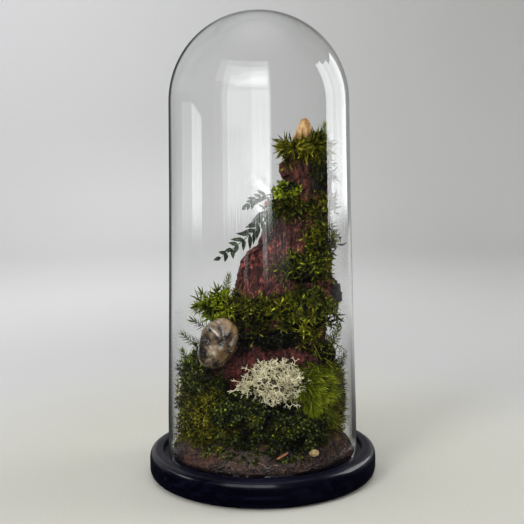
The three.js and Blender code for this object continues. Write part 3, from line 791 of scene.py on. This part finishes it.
# Leaves, sprigs and how they are set

def plant(bm, mesh, at, turn, size):
    """Adds a copy of mesh to bm, from which no vertex was removed before."""
    place = Matrix.Translation(at) @ turn @ Matrix.Scale(size, 4)
    before = len(bm.verts)
    bm.from_mesh(mesh)
    bm.verts.ensure_lookup_table()
    for vert in bm.verts[before:]:
        vert.co = place @ vert.co


def swell(t, fullness, root=0.0):
    """The share of its greatest width that a leaf has at t of its length."""
    if t < fullness:
        return root + (1 - root) * sin(t / fullness * pi / 2)
    return cos((t - fullness) / (1 - fullness) * pi / 2)


def leaf(bm, tip, place, length, width, curl, steps, fullness=0.35, root=0.3, roll=0.0, light=1.0, keel=0.0):
    """A pointed leaf along +Z that curls over towards +Y; fullness is where it is widest."""
    made = bmesh.ops.create_grid(bm, x_segments=2 if keel else 1, y_segments=steps, size=0.5)["verts"]
    for vert in made:
        side, t = vert.co.x * 2, vert.co.y + 0.5
        wide = max(swell(t, fullness, root), 0)
        bend = curl * t
        out = length * (sin(bend) / curl if curl else t)
        over = length * ((1 - cos(bend)) / curl if curl else 0)
        # Painted shade: light dims the tip value of the whole leaf.
        vert[tip] = t * light
        half = side * width / 2 * wide
        fold = keel * width * abs(side) * wide
        vert.co = place @ Vector((half * cos(roll), over + half * sin(roll) + fold, out))
    bmesh.ops.remove_doubles(bm, verts=made, dist=MERGE)


def leafy_mesh():
    """A new bmesh, with a layer for how near a leaf's tip each vertex is; the layer also carries painted shade,
    low on lower leaves, branch roots and the cores of clumps.
    """
    bm = bmesh.new()
    return bm, bm.verts.layers.float.new("tip")


def sprig(seed, count, length, width, stem, spread, curl, steps=3, fullness=0.35, even=0, stem_width=0, keel=0):
    """A mesh of one sprig: leaves round a short stem along +Z, the lowest spread widest."""
    rng = random.Random(seed)
    bm, tip = leafy_mesh()
    for number in range(count):
        up = (number + 0.5) / count
        level = (1 - up) ** (1 - even)
        tilt = spread[0] + (spread[1] - spread[0]) * level + rng.uniform(-0.18, 0.18)
        turn = Matrix.Rotation(number * GOLDEN_ANGLE + rng.uniform(-0.3, 0.3), 4, "Z")
        place = turn @ Matrix.Translation((0, 0, stem * up)) @ Matrix.Rotation(-tilt, 4, "X")
        size = rng.uniform(0.72, 1.12) * (1 - 0.25 * up)
        # Painted shade: the lower leaves of a sprig are darker, and each leaf also gets a random tone.
        leaf(
            bm, tip, place, length * size, width * rng.uniform(0.85, 1.1), curl * rng.uniform(0.5, 1.3), steps,
            fullness, roll=rng.uniform(-0.6, 0.6), light=(0.3 + 0.7 * up) * rng.uniform(0.55, 1.25), keel=keel,
        )
    if stem_width:
        made = bmesh.ops.create_cone(
            bm, segments=3, radius1=stem_width, radius2=stem_width * 0.4, depth=stem + 1,
            matrix=Matrix.Translation((0, 0, stem / 2 - 0.5)),
        )["verts"]
        for vert in made:
            vert[tip] = 0.75
    return to_mesh("sprig", bm)


def sprigs(seed, **form):
    """Five sprigs of one form."""
    return [sprig(seed + i, **form) for i in range(5)]


FORMS = {
    "long": sprigs(
        100, count=12, length=11, width=1.45, stem=4, spread=(0.15, 1.35), curl=0.9, steps=4, keel=0.22
    ),
    "star": sprigs(150, count=13, length=8.6, width=1.3, stem=3.6, spread=(0.1, 1.45), curl=0.4, keel=0.2),
    "plume": sprigs(200, count=15, length=6.4, width=1.2, stem=9.5, spread=(0.4, 1.15), curl=0.8, even=0.7),
    "broad": sprigs(300, count=9, length=5, width=2.3, stem=3.6, spread=(0.4, 1.3), curl=0.4, fullness=0.5),
    "hair": sprigs(400, count=8, length=12, width=0.62, stem=0.8, spread=(0.02, 0.2), curl=0.5, steps=4),
    "small": sprigs(
        500, count=12, length=3.2, width=1.7, stem=6, spread=(0.6, 1.4), curl=0.3, fullness=0.5, even=0.6
    ),
    "fibre": sprigs(600, count=9, length=9, width=0.62, stem=2, spread=(0.1, 0.9), curl=1.0),
    "creep": sprigs(
        700, count=15, length=3.6, width=1.0, stem=11, spread=(0.6, 1.3), curl=0.4, steps=2, even=0.8,
        stem_width=0.4,
    ),
}
# How far a sprig of each form reaches
REACH = dict(long=11.5, star=10, plume=12.5, broad=7.2, hair=11.5, small=7.8, fibre=9.4, creep=12.6)


def solid_tree(node):
    """A search tree and box of a CAD node, in millimetres."""
    mesh = node.data
    points = [vert.co / MM for vert in mesh.vertices]
    tree = BVHTree.FromPolygons(points, [tuple(face.vertices) for face in mesh.polygons])
    low = Vector([min(p[i] for p in points) for i in range(3)])
    high = Vector([max(p[i] for p in points) for i in range(3)])
    return tree, low, high


SOLIDS = {name: solid_tree(node) for name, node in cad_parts.items() if name != "glass_dome"}


def within(name, point):
    """True if the point is inside that CAD node's solid."""
    tree, low, high = SOLIDS[name]
    if any(point[i] < low[i] or point[i] > high[i] for i in range(3)):
        return False
    hit, normal, _, _ = tree.ray_cast(point, UP)
    return hit is not None and normal.dot(UP) > 0


def buried(point, own):
    """True if the point is inside another node's solid."""
    return any(within(name, point) for name in SOLIDS if name not in (own, "soil_bed"))


CLEAR_RADII = [(FOOT, 59.6), (80, 58), (130, 56.8), (185, 55.6), (SHOULDER, 54.6)]


def clear_radius(z):
    """How far from the axis a leaf may reach at a height, inside the glass."""
    if z <= SHOULDER:
        return between(CLEAR_RADII, z)[0]
    return sqrt(max(0.0, CLEAR_RADII[-1][1] ** 2 - (z - SHOULDER) ** 2))


def kept_in(point, margin=0.0):
    """The point, moved inside the glass and a margin if it is outside."""
    radius, limit = hypot(point.x, point.y), clear_radius(point.z) - margin
    if radius <= limit:
        return point
    return Vector((point.x * limit / radius, point.y * limit / radius, point.z))


def keep_all_in(bm):
    """Moves what is outside the glass inside."""
    for vert in bm.verts:
        vert.co = kept_in(vert.co)


class Spacing:
    """Keeps planted points at least a distance apart."""

    def __init__(self, distance):
        self.distance = distance
        self.cells = {}

    def take(self, point):
        """True, and the point is noted, if no other is too near."""
        key = tuple(int(floor(c / self.distance)) for c in point)
        for cell in itertools.product(*[(c - 1, c, c + 1) for c in key]):
            if any((other - point).length < self.distance for other in self.cells.get(cell, ())):
                return False
        self.cells.setdefault(key, []).append(point)
        return True


# The level of slow noise below which a form leaves gaps, and that of the forms not named
GAP_LEVEL, USUAL_GAP_LEVEL = dict(hair=-1, long=-0.4, star=-0.4, fibre=-0.35), -0.22
# How far a sprig's tip may be from its clump's solid, and the lowest that one may be
OFF_SOLID, LOWEST = 5.5, 19
# Round spots that the moss leaves bare: middle, radius
BARE_SPOTS = [
    ((23, -11, 229), 12.5), ((19, -13, 221), 7), ((15, -16, 203), 6), ((22, -17, 196), 6.5),
    ((-7, -36, 78), 7), ((16, -35, 84), 6.5), ((36.5, -20, 196), 5.5), ((20, 4, 227), 11),
    ((12, -8, 224), 7.5),
]


def grow_moss(node, forms, kind, slot, centre, radii, facing, cushion, lean, spacing, size=1.0, belt=0.0):
    """A clump of moss: a cushion painted dark as the shade inside the clump, with sprigs over what shows of it,
    and a belt along the soil.
    """
    rng = random.Random(node)
    centre, radii = Vector(centre), Vector(radii)
    facing, lean = Vector(facing).normalized(), Vector(lean)
    bm, _ = leafy_mesh()
    inside, core_margin = 0.72 * cushion ** 0.5, 3
    # Painted shade: the core has no tip value, so it takes the darkest root tone.
    for vert in lump(bm, (0, 0, 0), [r * inside for r in radii], 4, 0.1, 0.08, radii[0]):
        vert.co = kept_in(kept_in(vert.co + centre), core_margin)
    tree = SOLIDS[node][0]
    gap = Spacing(spacing)

    def set_sprig(edge, heading, ragged):
        form = rng.choice(forms)
        scale = size * rng.uniform(0.8, 1.15)
        tip = kept_in(edge + heading * ragged)
        root = tip - heading * REACH[form] * scale * 0.92
        turn = aimed(heading, rng.uniform(0, 6.28))
        plant(bm, rng.choice(FORMS[form]), root, turn, scale)

    a, b, c = radii
    fullest = max(b * c, a * c, a * b)
    power = 1.6
    sections = (a * b) ** power + (a * c) ** power + (b * c) ** power
    area = 4 * pi * sections ** (1 / power) / 3 ** (1 / power)
    for _ in range(int(area / spacing ** 2 * 9)):
        way = scatter(rng, 1).normalized()
        weight = Vector((b * c * way.x, a * c * way.y, a * b * way.z)).length / fullest
        if rng.random() > weight:
            continue
        reach = 1.0 if way.dot(facing) > -0.35 else cushion
        edge = kept_in(centre + stretched(way, radii) * reach)
        normal = outward(way, radii)
        off_solid = tree.find_nearest(edge)[3]
        if off_solid is None or off_solid > OFF_SOLID or buried(edge - normal * 1.2, node) or edge.z < LOWEST:
            continue
        if any((edge - Vector(spot)).length < radius for spot, radius in BARE_SPOTS) or not gap.take(edge):
            continue
        if noise(edge * 0.2 + Vector((0, 9, 0))) < GAP_LEVEL.get(forms[0], USUAL_GAP_LEVEL):
            continue
        wander = scatter(rng, 0.3)
        ragged = 8 * noise(edge * 0.14) + rng.uniform(-2.6, 1.4)
        stray = 3.4 if rng.random() < 0.12 else 0
        set_sprig(edge, (normal + facing * 0.25 + wander + lean).normalized(), ragged + stray)
    middle = atan2(centre.y, centre.x)
    for _ in range(int(belt * 4000)):
        angle = middle + rng.uniform(-belt, belt)
        radius = rng.uniform(40, 57)
        height = between(SOIL[3:8], radius)[0]
        edge = Vector((radius * cos(angle), radius * sin(angle), height + 3))
        if edge.z < 25 + 5 * noise(edge * 0.09 + Vector((0, 0, 4))) or not gap.take(edge):
            continue
        wander = scatter(rng, 0.3)
        heading = (Vector((edge.x, edge.y, 0)).normalized() * 0.8 + UP * 0.35 + wander).normalized()
        set_sprig(edge, heading, rng.uniform(-1, 1.5))
    keep_all_in(bm)
    add_piece(node + "_leaves", bm, [LEAVES[kind + "_moss"]], slot, node, smooth=False)


FRONT, BACK = (0, -1, 0.4), (0, 1, 0.4)
UPRIGHT, HANGING = (0, 0, 0.05), (0, 0, -0.3)
# Clumps: node, forms of sprig, kind of leaf, slot, middle, radii, the way it faces, depth of its
# back, lean of its sprigs, millimetres between them, their size, share of a belt along the soil
MOSSES = [
    ("moss_crown", ["long"], "crown", "bright_moss", (28.5, -3, 214.5), (19.5, 17, 12),
     (0.3, -0.5, 0.4), 0.66, (0, 0, -0.3), 3.2),
    ("moss_crown_side", ["long"], "dark", "dark_moss", (39.5, -7, 199), (8.5, 11, 14),
     (0.6, -0.8, 0), 0.72, (0, 0, -0.5), 3.4, 0.8),
    ("moss_leafy", ["broad"], "leafy", "bright_moss", (18.5, -13, 190.5), (10.5, 7.5, 6.5),
     FRONT, 0.74, UPRIGHT, 3.0),
    ("moss_collar", ["plume"], "mid", "mid_moss", (26.5, -4, 177.5), (23.5, 21, 12),
     (0, -1, 0), 0.84, HANGING, 3.4),
    ("moss_drape", ["plume"], "bright", "bright_moss", (36, -11, 156), (13.5, 15, 15),
     FRONT, 0.8, (-0.3, 0, -0.6), 3.4, 1.05),
    ("moss_drape_low", ["plume"], "bright", "bright_moss", (27, -17, 138.5), (20, 14, 14),
     FRONT, 0.78, (-0.4, 0, -0.6), 3.5, 1.1),
    ("moss_tuft", ["long", "star"], "cushion", "bright_moss", (-28, -13, 115), (16, 14, 13),
     (-0.5, -0.3, 0.8), 0.46, (-0.1, 0, 0.25), 4.3, 0.95),
    ("moss_shelf", ["plume"], "mid", "mid_moss", (-3, -20, 112), (20, 16, 14),
     FRONT, 0.82, HANGING, 3.5, 1.1),
    ("moss_shelf_right", ["plume"], "bright", "bright_moss", (26, -20, 110), (23, 17.5, 20),
     FRONT, 0.82, (-0.1, 0, -0.4), 3.6, 1.15),
    ("moss_hollow", ["small"], "shade", "dark_moss", (8, -21.5, 94), (27, 12.5, 11),
     FRONT, 0.86, HANGING, 3.0),
    ("moss_right_step", ["creep"], "bright", "mid_moss", (39, -16, 84), (14, 16, 14),
     (0.6, -0.8, 0.2), 0.68, (0.1, 0, -0.2), 4.4),
    ("moss_cushion", ["hair"], "cushion", "bright_moss", (32.5, -29, 58), (16, 18, 20),
     FRONT, 0.88, (0.55, 0, -1.0), 1.9, 1.05),
    ("moss_right", ["fibre"], "olive", "mid_moss", (44.5, -9, 53), (14, 24, 29),
     (1, -0.4, 0.2), 0.88, (0, 0, -0.2), 2.6, 1.0, 0.4),
    ("moss_left_step", ["plume"], "dark", "dark_moss", (-37, -20, 71), (17.5, 20, 16),
     (-0.6, -0.6, 0.5), 0.84, UPRIGHT, 3.3),
    ("moss_left", ["fibre", "small"], "olive", "mid_moss", (-33, -25.5, 43), (21, 21, 22),
     (-0.7, -0.7, 0.1), 0.9, (0, 0, -0.2), 2.5, 1.0, 0.5),
    ("moss_front", ["small"], "dark", "dark_moss", (-8, -38, 45), (26, 17.5, 22.5),
     FRONT, 0.9, UPRIGHT, 2.7, 1.0, 0.5),
    ("moss_front_right", ["small"], "dark", "dark_moss", (20, -37.5, 40), (23, 17.5, 17.5),
     FRONT, 0.9, UPRIGHT, 2.7, 1.0, 0.45),
    ("moss_side_left", ["plume"], "mid", "mid_moss", (-45, 8, 50), (15, 26, 29),
     (-1, 0.1, 0.3), 0.9, HANGING, 3.6, 1.1, 0.4),
    ("moss_back_left", ["small", "plume"], "dark", "dark_moss", (-26, 36, 47), (26, 21, 26),
     BACK, 0.9, UPRIGHT, 3.4, 1.1, 0.4),
    ("moss_back", ["plume"], "bright", "bright_moss", (12, 40, 53), (25, 19, 29),
     BACK, 0.9, HANGING, 3.7, 1.1, 0.4),
    ("moss_back_right", ["fibre", "small"], "olive", "mid_moss", (41, 25, 49), (18, 24, 27),
     (0.7, 0.7, 0.2), 0.9, HANGING, 3.1, 1.1, 0.4),
    ("moss_back_shelf", ["plume"], "mid", "mid_moss", (4, 23, 98), (26, 14, 15),
     BACK, 0.84, HANGING, 3.6, 1.1),
    ("moss_back_drape", ["plume"], "bright", "bright_moss", (30, 17, 138), (16, 11, 18),
     BACK, 0.84, (0, 0, -0.5), 3.6, 1.1),
    ("moss_back_collar", ["plume"], "mid", "mid_moss", (24, 12, 178), (17, 10, 11),
     BACK, 0.84, HANGING, 3.5),
]


def antler(seed):
    """A forked lichen branch along +Z, about 9 mm long."""
    rng = random.Random(seed)
    bm, tip = leafy_mesh()

    def grow(start, heading, length, radius, level):
        end = start + heading * length
        made = bmesh.ops.create_cone(
            bm, segments=3, radius1=radius, radius2=radius * 0.8, depth=length * 1.08,
            matrix=Matrix.Translation((start + end) / 2) @ aimed(heading), cap_ends=level == 3,
        )["verts"]
        # Painted shade: branches are darker the lower their level.
        for vert in made:
            vert[tip] = min(1.0, 0.25 + 0.25 * level)
        if level < 3:
            side = heading.orthogonal()
            side.rotate(Matrix.Rotation(rng.uniform(0, tau), 3, heading))
            for sign in (-1, 1):
                away = (heading + side * sign * rng.uniform(0.4, 0.95)).normalized()
                grow(end, away, length * rng.uniform(0.62, 0.86), radius * 0.84, level + 1)
    grow(Vector((0, 0, 0)), UP, 4.0, 0.45, 0)
    return to_mesh("antler", bm)


ANTLER_REACH = 9.6


def make_lichen():
    rng = random.Random(77)
    centre, radii = Vector((5, -40.5, 70.6)), Vector((20.2, 13.5, 13.3))
    bm, _ = leafy_mesh()
    # Painted shade: the core has no tip value, so it takes the darkest tone.
    for vert in lump(bm, (0, 0, 0), [r * 0.5 for r in radii], 3, 0.2, 0.1, 4):
        vert.co += centre
    branches = [antler(900 + i) for i in range(6)]
    gap = Spacing(3.5)
    for _ in range(4000):
        way = scatter(rng, 1).normalized()
        depth = rng.uniform(0.7, 1.04) + 0.6 * noise(way * 2.1 + Vector((3, 0, 0)))
        edge = centre + stretched(way, radii) * depth
        if way.dot(Vector(FRONT)) < -0.3 or buried(edge, "reindeer_lichen") or not gap.take(edge):
            continue
        heading = (outward(way, radii) + scatter(rng, 0.45)).normalized()
        scale = rng.uniform(0.75, 1.1)
        turn = aimed(heading, rng.uniform(0, 6.28))
        plant(bm, rng.choice(branches), edge - heading * ANTLER_REACH * scale, turn, scale)
    keep_all_in(bm)
    add_piece("forked_lichen", bm, [pale_lichen()], "lichen", "reindeer_lichen", smooth=False)


# Fronds: node, pairs of leaflets, their length and width, where they start, seed, the stalk's points
FRONDS = [
    ("fern_frond_long", 10, 10.2, 2.7, 0.34, 11, [
        (14, -12, 183.5), (4, -19, 181.5), (2.5, -21, 174), (-3, -21, 165.5), (-14, -20, 155.5),
        (-25, -18, 147),
    ]),
    ("fern_frond_upper", 5, 6.6, 2.3, 0.42, 12, [
        (17, -8.5, 186), (6, -14.5, 186.5), (-2, -16, 183.5), (-9, -16, 179),
    ]),
    ("fern_frond_hanging", 4, 7.5, 2.5, 0.45, 13, [
        (14, -14, 180), (9, -21, 178.5), (7, -24, 173), (6.5, -24, 167),
    ]),
]


def make_fern(node, pairs, length, width, first, seed, points):
    """A frond: a thin stalk with paired leaflets that face the front."""
    rng = random.Random(seed)
    bm, tip = leafy_mesh()
    line = smooth_line([Vector(p) for p in points], 5)
    stalk(bm, line, 0.42, 0.22)
    for vert in bm.verts:
        vert[tip] = 0.4
    finishes = [LEAVES["fern_leaf"]]
    if node == "fern_frond_long":
        finishes.append(bare_scrap("fern_knuckle", (96, 50, 30), (176, 112, 74)))
        second_finish(lump(bm, points[1], (1.3, 1.2, 1.6), 2, 0.15, 0.1, seed))
    face = Vector((0.1, -1, 0.25)).normalized()
    for number in range(pairs + 1):
        along = first + (1 - first) * number / pairs
        at, ahead = on_line(line, along)
        across = ahead.cross(face).normalized()
        size = 1 - 0.45 * max(0.0, along - 0.55) / 0.45
        for sign in (-1, 1) if number < pairs else (0,):
            way = (ahead * 0.85 + across * sign * 0.7 + scatter(rng, 0.2)).normalized()
            turn = Matrix((face.cross(way).normalized(), face, way)).transposed().to_4x4()
            place = Matrix.Translation(at) @ turn
            leaflet(bm, tip, place, length * size * rng.uniform(0.85, 1.1), width, rng)
    add_piece(node + "_leaflets", bm, finishes, "fern", node, smooth=False)


def leaflet(bm, tip, place, length, width, rng):
    """A folded, lance-shaped leaflet with a wavy edge."""
    made = bmesh.ops.create_grid(bm, x_segments=4, y_segments=9, size=0.5)["verts"]
    wave = rng.uniform(0, 6)
    for vert in made:
        side, t = vert.co.x * 2, vert.co.y + 0.5
        wide = swell(t, 0.32) * (1 + 0.1 * sin(t * 26 + wave) * abs(side))
        fold = abs(side) * width * 0.16 - 1.5 * t * t
        vert[tip] = 1 - abs(side)
        vert.co = place @ Vector((side * width / 2 * max(0.03, wide), fold, length * t))
    bmesh.ops.remove_doubles(bm, verts=made, dist=MERGE)


# Shoots: node, the stem's points, length of the needles
SHOOTS = [
    ("shoot_crown", [(36, -8, 205), (39.5, -9.5, 217), (41.5, -7, 229)], 5.6),
    ("shoot_left_top", [(-24, -15, 116), (-22.5, -13, 126), (-20.5, -11, 134)], 4.0),
    ("shoot_left_upper", [(-19, -11, 96), (-34, -15, 100.5), (-44, -16, 106.5)], 5.0),
    ("shoot_left_middle", [(-32, -12, 90), (-43, -14, 91), (-50.5, -16, 97.5)], 4.8),
    ("shoot_left_lower", [(-38, -22, 70), (-46, -22, 79), (-50, -21, 87)], 4.6),
    ("shoot_right_middle", [(40, -14, 88), (47, -15, 93), (49.5, -15, 101)], 4.2),
    ("shoot_right_lower", [(42, -12, 68), (50, -13, 74), (53.5, -11, 81)], 4.0),
]


def make_shoot(node, points, needle):
    """A leafy shoot: needles in a close spiral up a stem."""
    rng = random.Random(node)
    bm, tip = leafy_mesh()
    line = smooth_line([Vector(p) for p in points], 8)
    stalk(bm, line, 0.35, 0.2)
    for vert in bm.verts:
        vert[tip] = 0.6
    count = 48
    for number in range(count):
        at, ahead = on_line(line, 0.3 + 0.7 * number / (count - 1))
        end = number / count
        tilt = 1.3 - 0.9 * end ** 4
        place = Matrix.Translation(at) @ aimed(ahead, number * GOLDEN_ANGLE) @ Matrix.Rotation(-tilt, 4, "X")
        length = needle * rng.uniform(0.9, 1.25) * (1 - 0.2 * end)
        leaf(bm, tip, place, length, 0.85, -0.3, 3, roll=rng.uniform(-0.8, 0.8), keel=0.3)
    keep_all_in(bm)
    add_piece(node + "_needles", bm, [LEAVES["shoot_needles"]], "shoot_green", node, smooth=False)


def make_scraps():
    """The twig and the chip keep their CAD shapes and get bare-wood finishes."""
    twig = bare_scrap("bare_twig", (120, 62, 36), (206, 128, 84))
    chip = bare_scrap("pale_chip", (150, 118, 78), (222, 196, 148))
    for node, finish in (("twig_scrap", twig), ("wood_chip", chip)):
        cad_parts[node].data.materials.clear()
        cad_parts[node].data.materials.append(finish)


# Camera, floor and light

def make_camera():
    data = bpy.data.cameras.new("camera")
    data.sensor_width = 36
    data.lens = 76.8
    camera = bpy.data.objects.new("camera", data)
    pitch, roll = 0.1525, -0.0108
    ahead = Vector((0, cos(pitch), -sin(pitch)))
    level_up = Vector((0, sin(pitch), cos(pitch)))
    right = Vector((cos(roll), 0, 0)) + level_up * sin(roll)
    up = level_up * cos(roll) - Vector((sin(roll), 0, 0))
    turn = Matrix((right, up, -ahead)).transposed()
    camera.matrix_world = Matrix.Translation((0.0009, -0.72, 0.2518)) @ turn.to_4x4()
    scene.collection.objects.link(camera)
    scene.camera = camera


def make_backdrop():
    """A pale floor that curves up into a wall all round, in metres."""
    flat, bend = 1.05, 0.55
    angles = [radians(9 * i) for i in range(11)]
    curve = [(flat + bend * sin(a), bend - bend * cos(a)) for a in angles]
    bm = turned([(0, 0), *curve, (flat + bend, 2.6)], 96, 1e-5)
    to_object("backdrop", bm, [plain_backdrop()])


def soft_lamp(name, azimuth, half_width, low, high, distance, brightness):
    """A tall soft light; the angles are degrees round the dome from the camera's side and above its middle."""
    light = bpy.data.lights.new(name, "AREA")
    light.shape = "RECTANGLE"
    wide = 2 * distance * tan(radians(half_width))
    bottom, top = [distance * tan(radians(angle)) for angle in (low, high)]
    light.size = wide
    light.size_y = top - bottom
    light.energy = brightness * pi * wide * (top - bottom)
    lamp = linked(name, light)
    a = radians(azimuth)
    lamp.location = (distance * sin(a), -distance * cos(a), STAGE_MIDDLE + (top + bottom) / 2)
    lamp.rotation_euler = (radians(90), 0, a)
    lamp.visible_camera = lamp.visible_glossy = lamp.visible_transmission = False
    return lamp


def mirrored_only(name, bm, material):
    """A card of the stage that only mirror images see."""
    card = to_object(name, bm, [material], smooth=False)
    card.visible_camera = card.visible_diffuse = card.visible_transmission = card.visible_shadow = False


def glow_card(name, radius, start, end, low, high, slant, *glow):
    """A curved upright card; angles are degrees, as for soft_lamp, and its head falls by slant to its end."""
    bm = bmesh.new()
    foot, head = [STAGE_MIDDLE + radius * tan(radians(angle)) for angle in (low, high)]
    turn = radians(start)
    at = (radius * sin(turn), -radius * cos(turn))
    pair = [bm.verts.new((*at, foot)), bm.verts.new((*at, head))]
    geom = pair + [bm.edges.new(pair)]
    bmesh.ops.spin(bm, geom=geom, cent=(0, 0, 0), axis=UP, angle=radians(end - start), steps=24)
    for vert in bm.verts:
        if vert.co.z > foot + MERGE:
            share = (degrees(atan2(vert.co.x, -vert.co.y)) - start) / (end - start)
            vert.co.z -= slant * share
    mirrored_only(name, bm, streaky_glow(name, *glow))


# Each card: radius, degrees round and up, fall of its head, brightness, streaks, where it fades, waves, depth
CARDS = [
    ("glow_front", 0.5, -37, 12.2, -10, 45.8, 0, 3.3, 0.5, 0.138, 0.165, 0.05, 1),
    ("glow_front_side", 0.5, -47, -37, -10, 45.8, 0, 0.6, 0.6, 0.138, 0.165, 0.05, 1),
    ("glow_front_head", 0.5, -47, -37, 27, 45.8, 0, 1.7, 0.2, 0.138, 0.165, 0.05, 1),
    ("glow_front_bright", 0.5, -8, 12.2, -10, 45.8, 0, 1.5, 0.7, 0.138, 0.165, 0.05, 1),
    ("glow_inner", 0.5, -14.6, 46.5, -18, 46.7, 0, 1.2, 0.5, 0.1, 0.13, 0.02, 2),
    ("glow_inner_low", 0.2, -14, 40, -23, -0.8, 0, 3.3, 0.2, 0.088, 0.1, 0.02, 2),
    ("glow_band", 0.5, 7.1, 29.3, -10, -3, 0, 0.5, 0.9, 0.09, 0.11, 0.02, 1),
    ("glow_thread", 0.5, 2.6, 7.1, -10, -2, 0, 1.7, 0.3, 0.095, 0.11, 0.02, 1),
    ("glow_thread_left", 0.5, -16, -13.6, -10, -4, 0, 1.5, 0.3, 0.09, 0.105, 0.02, 1),
    ("glow_thread_far", 0.5, -29.3, -23.3, -10, -5, 0, 0.8, 0.6, 0.09, 0.105, 0.02, 1),
    ("glow_left", 0.5, -88, -72, -14, 10, 0.017, 5.6, 0.45, 0.11, 0.15, 0.06, 0),
    ("glow_left_side", 0.5, -108, -88, -14, 10, 0, 1.6, 0.7, 0.11, 0.15, 0.06, 0),
    ("glow_right", 0.5, 88, 101, -14, 38, 0, 8.0, 0.35, 0.115, 0.15, 0.05, 0),
    ("glow_right_side", 0.5, 101, 114, -14, 35, 0, 5.4, 0.3, 0.115, 0.15, 0.05, 0),
    ("glow_right_far", 0.5, 114, 136, -14, 32, 0, 4.2, 0.25, 0.115, 0.15, 0.05, 0),
    ("glow_right_low", 0.5, 87, 100, -14, -3.5, 0, 1.6, 0.3, 0.115, 0.15, 0.05, 0),
    ("glow_high", 0.5, -72, -14, 24, 58, 0, 10.0, 0.3, 0.1, 0.2, 0.0, 2),
]


def make_light():
    soft_lamp("lamp_front", -17, 30, -11, 44, 1.35, 0.9)
    soft_lamp("lamp_key", -38, 9, 16, 50, 1.35, 8.6)
    soft_lamp("lamp_right", 102, 15, -6, 40, 1.3, 3.8)
    soft_lamp("lamp_left", -90, 9, -6, 36, 1.3, 1.2)
    overhead = soft_lamp("lamp_overhead", 0, 30, -28, 28, 1.3, 2.6)
    overhead.location = (0, 0, 1.7)
    overhead.rotation_euler = (0, 0, 0)
    for card in CARDS:
        glow_card(*card)
    bm = bmesh.new()
    above = Matrix.Translation((0, 0, 2.5))
    bmesh.ops.create_circle(bm, cap_ends=True, segments=48, radius=OVERHEAD_RADIUS, matrix=above)
    mirrored_only("glow_overhead", bm, overhead_glow())
    world = bpy.data.worlds.new("soft_surround")
    world.use_nodes = True
    surround = world.node_tree.nodes["Background"].inputs
    surround["Color"].default_value = (0.9, 0.93, 0.97, 1)
    surround["Strength"].default_value = 0.05
    scene.world = world
    scene.view_settings.view_transform = "Standard"


def main():
    make_camera()
    make_backdrop()
    make_light()
    make_base()
    make_dome()
    make_soil()
    make_wood()
    make_stone()
    make_scraps()
    for row in MOSSES:
        grow_moss(*row)
    make_lichen()
    for row in FRONDS:
        make_fern(*row)
    for row in SHOOTS:
        make_shoot(*row)


main()
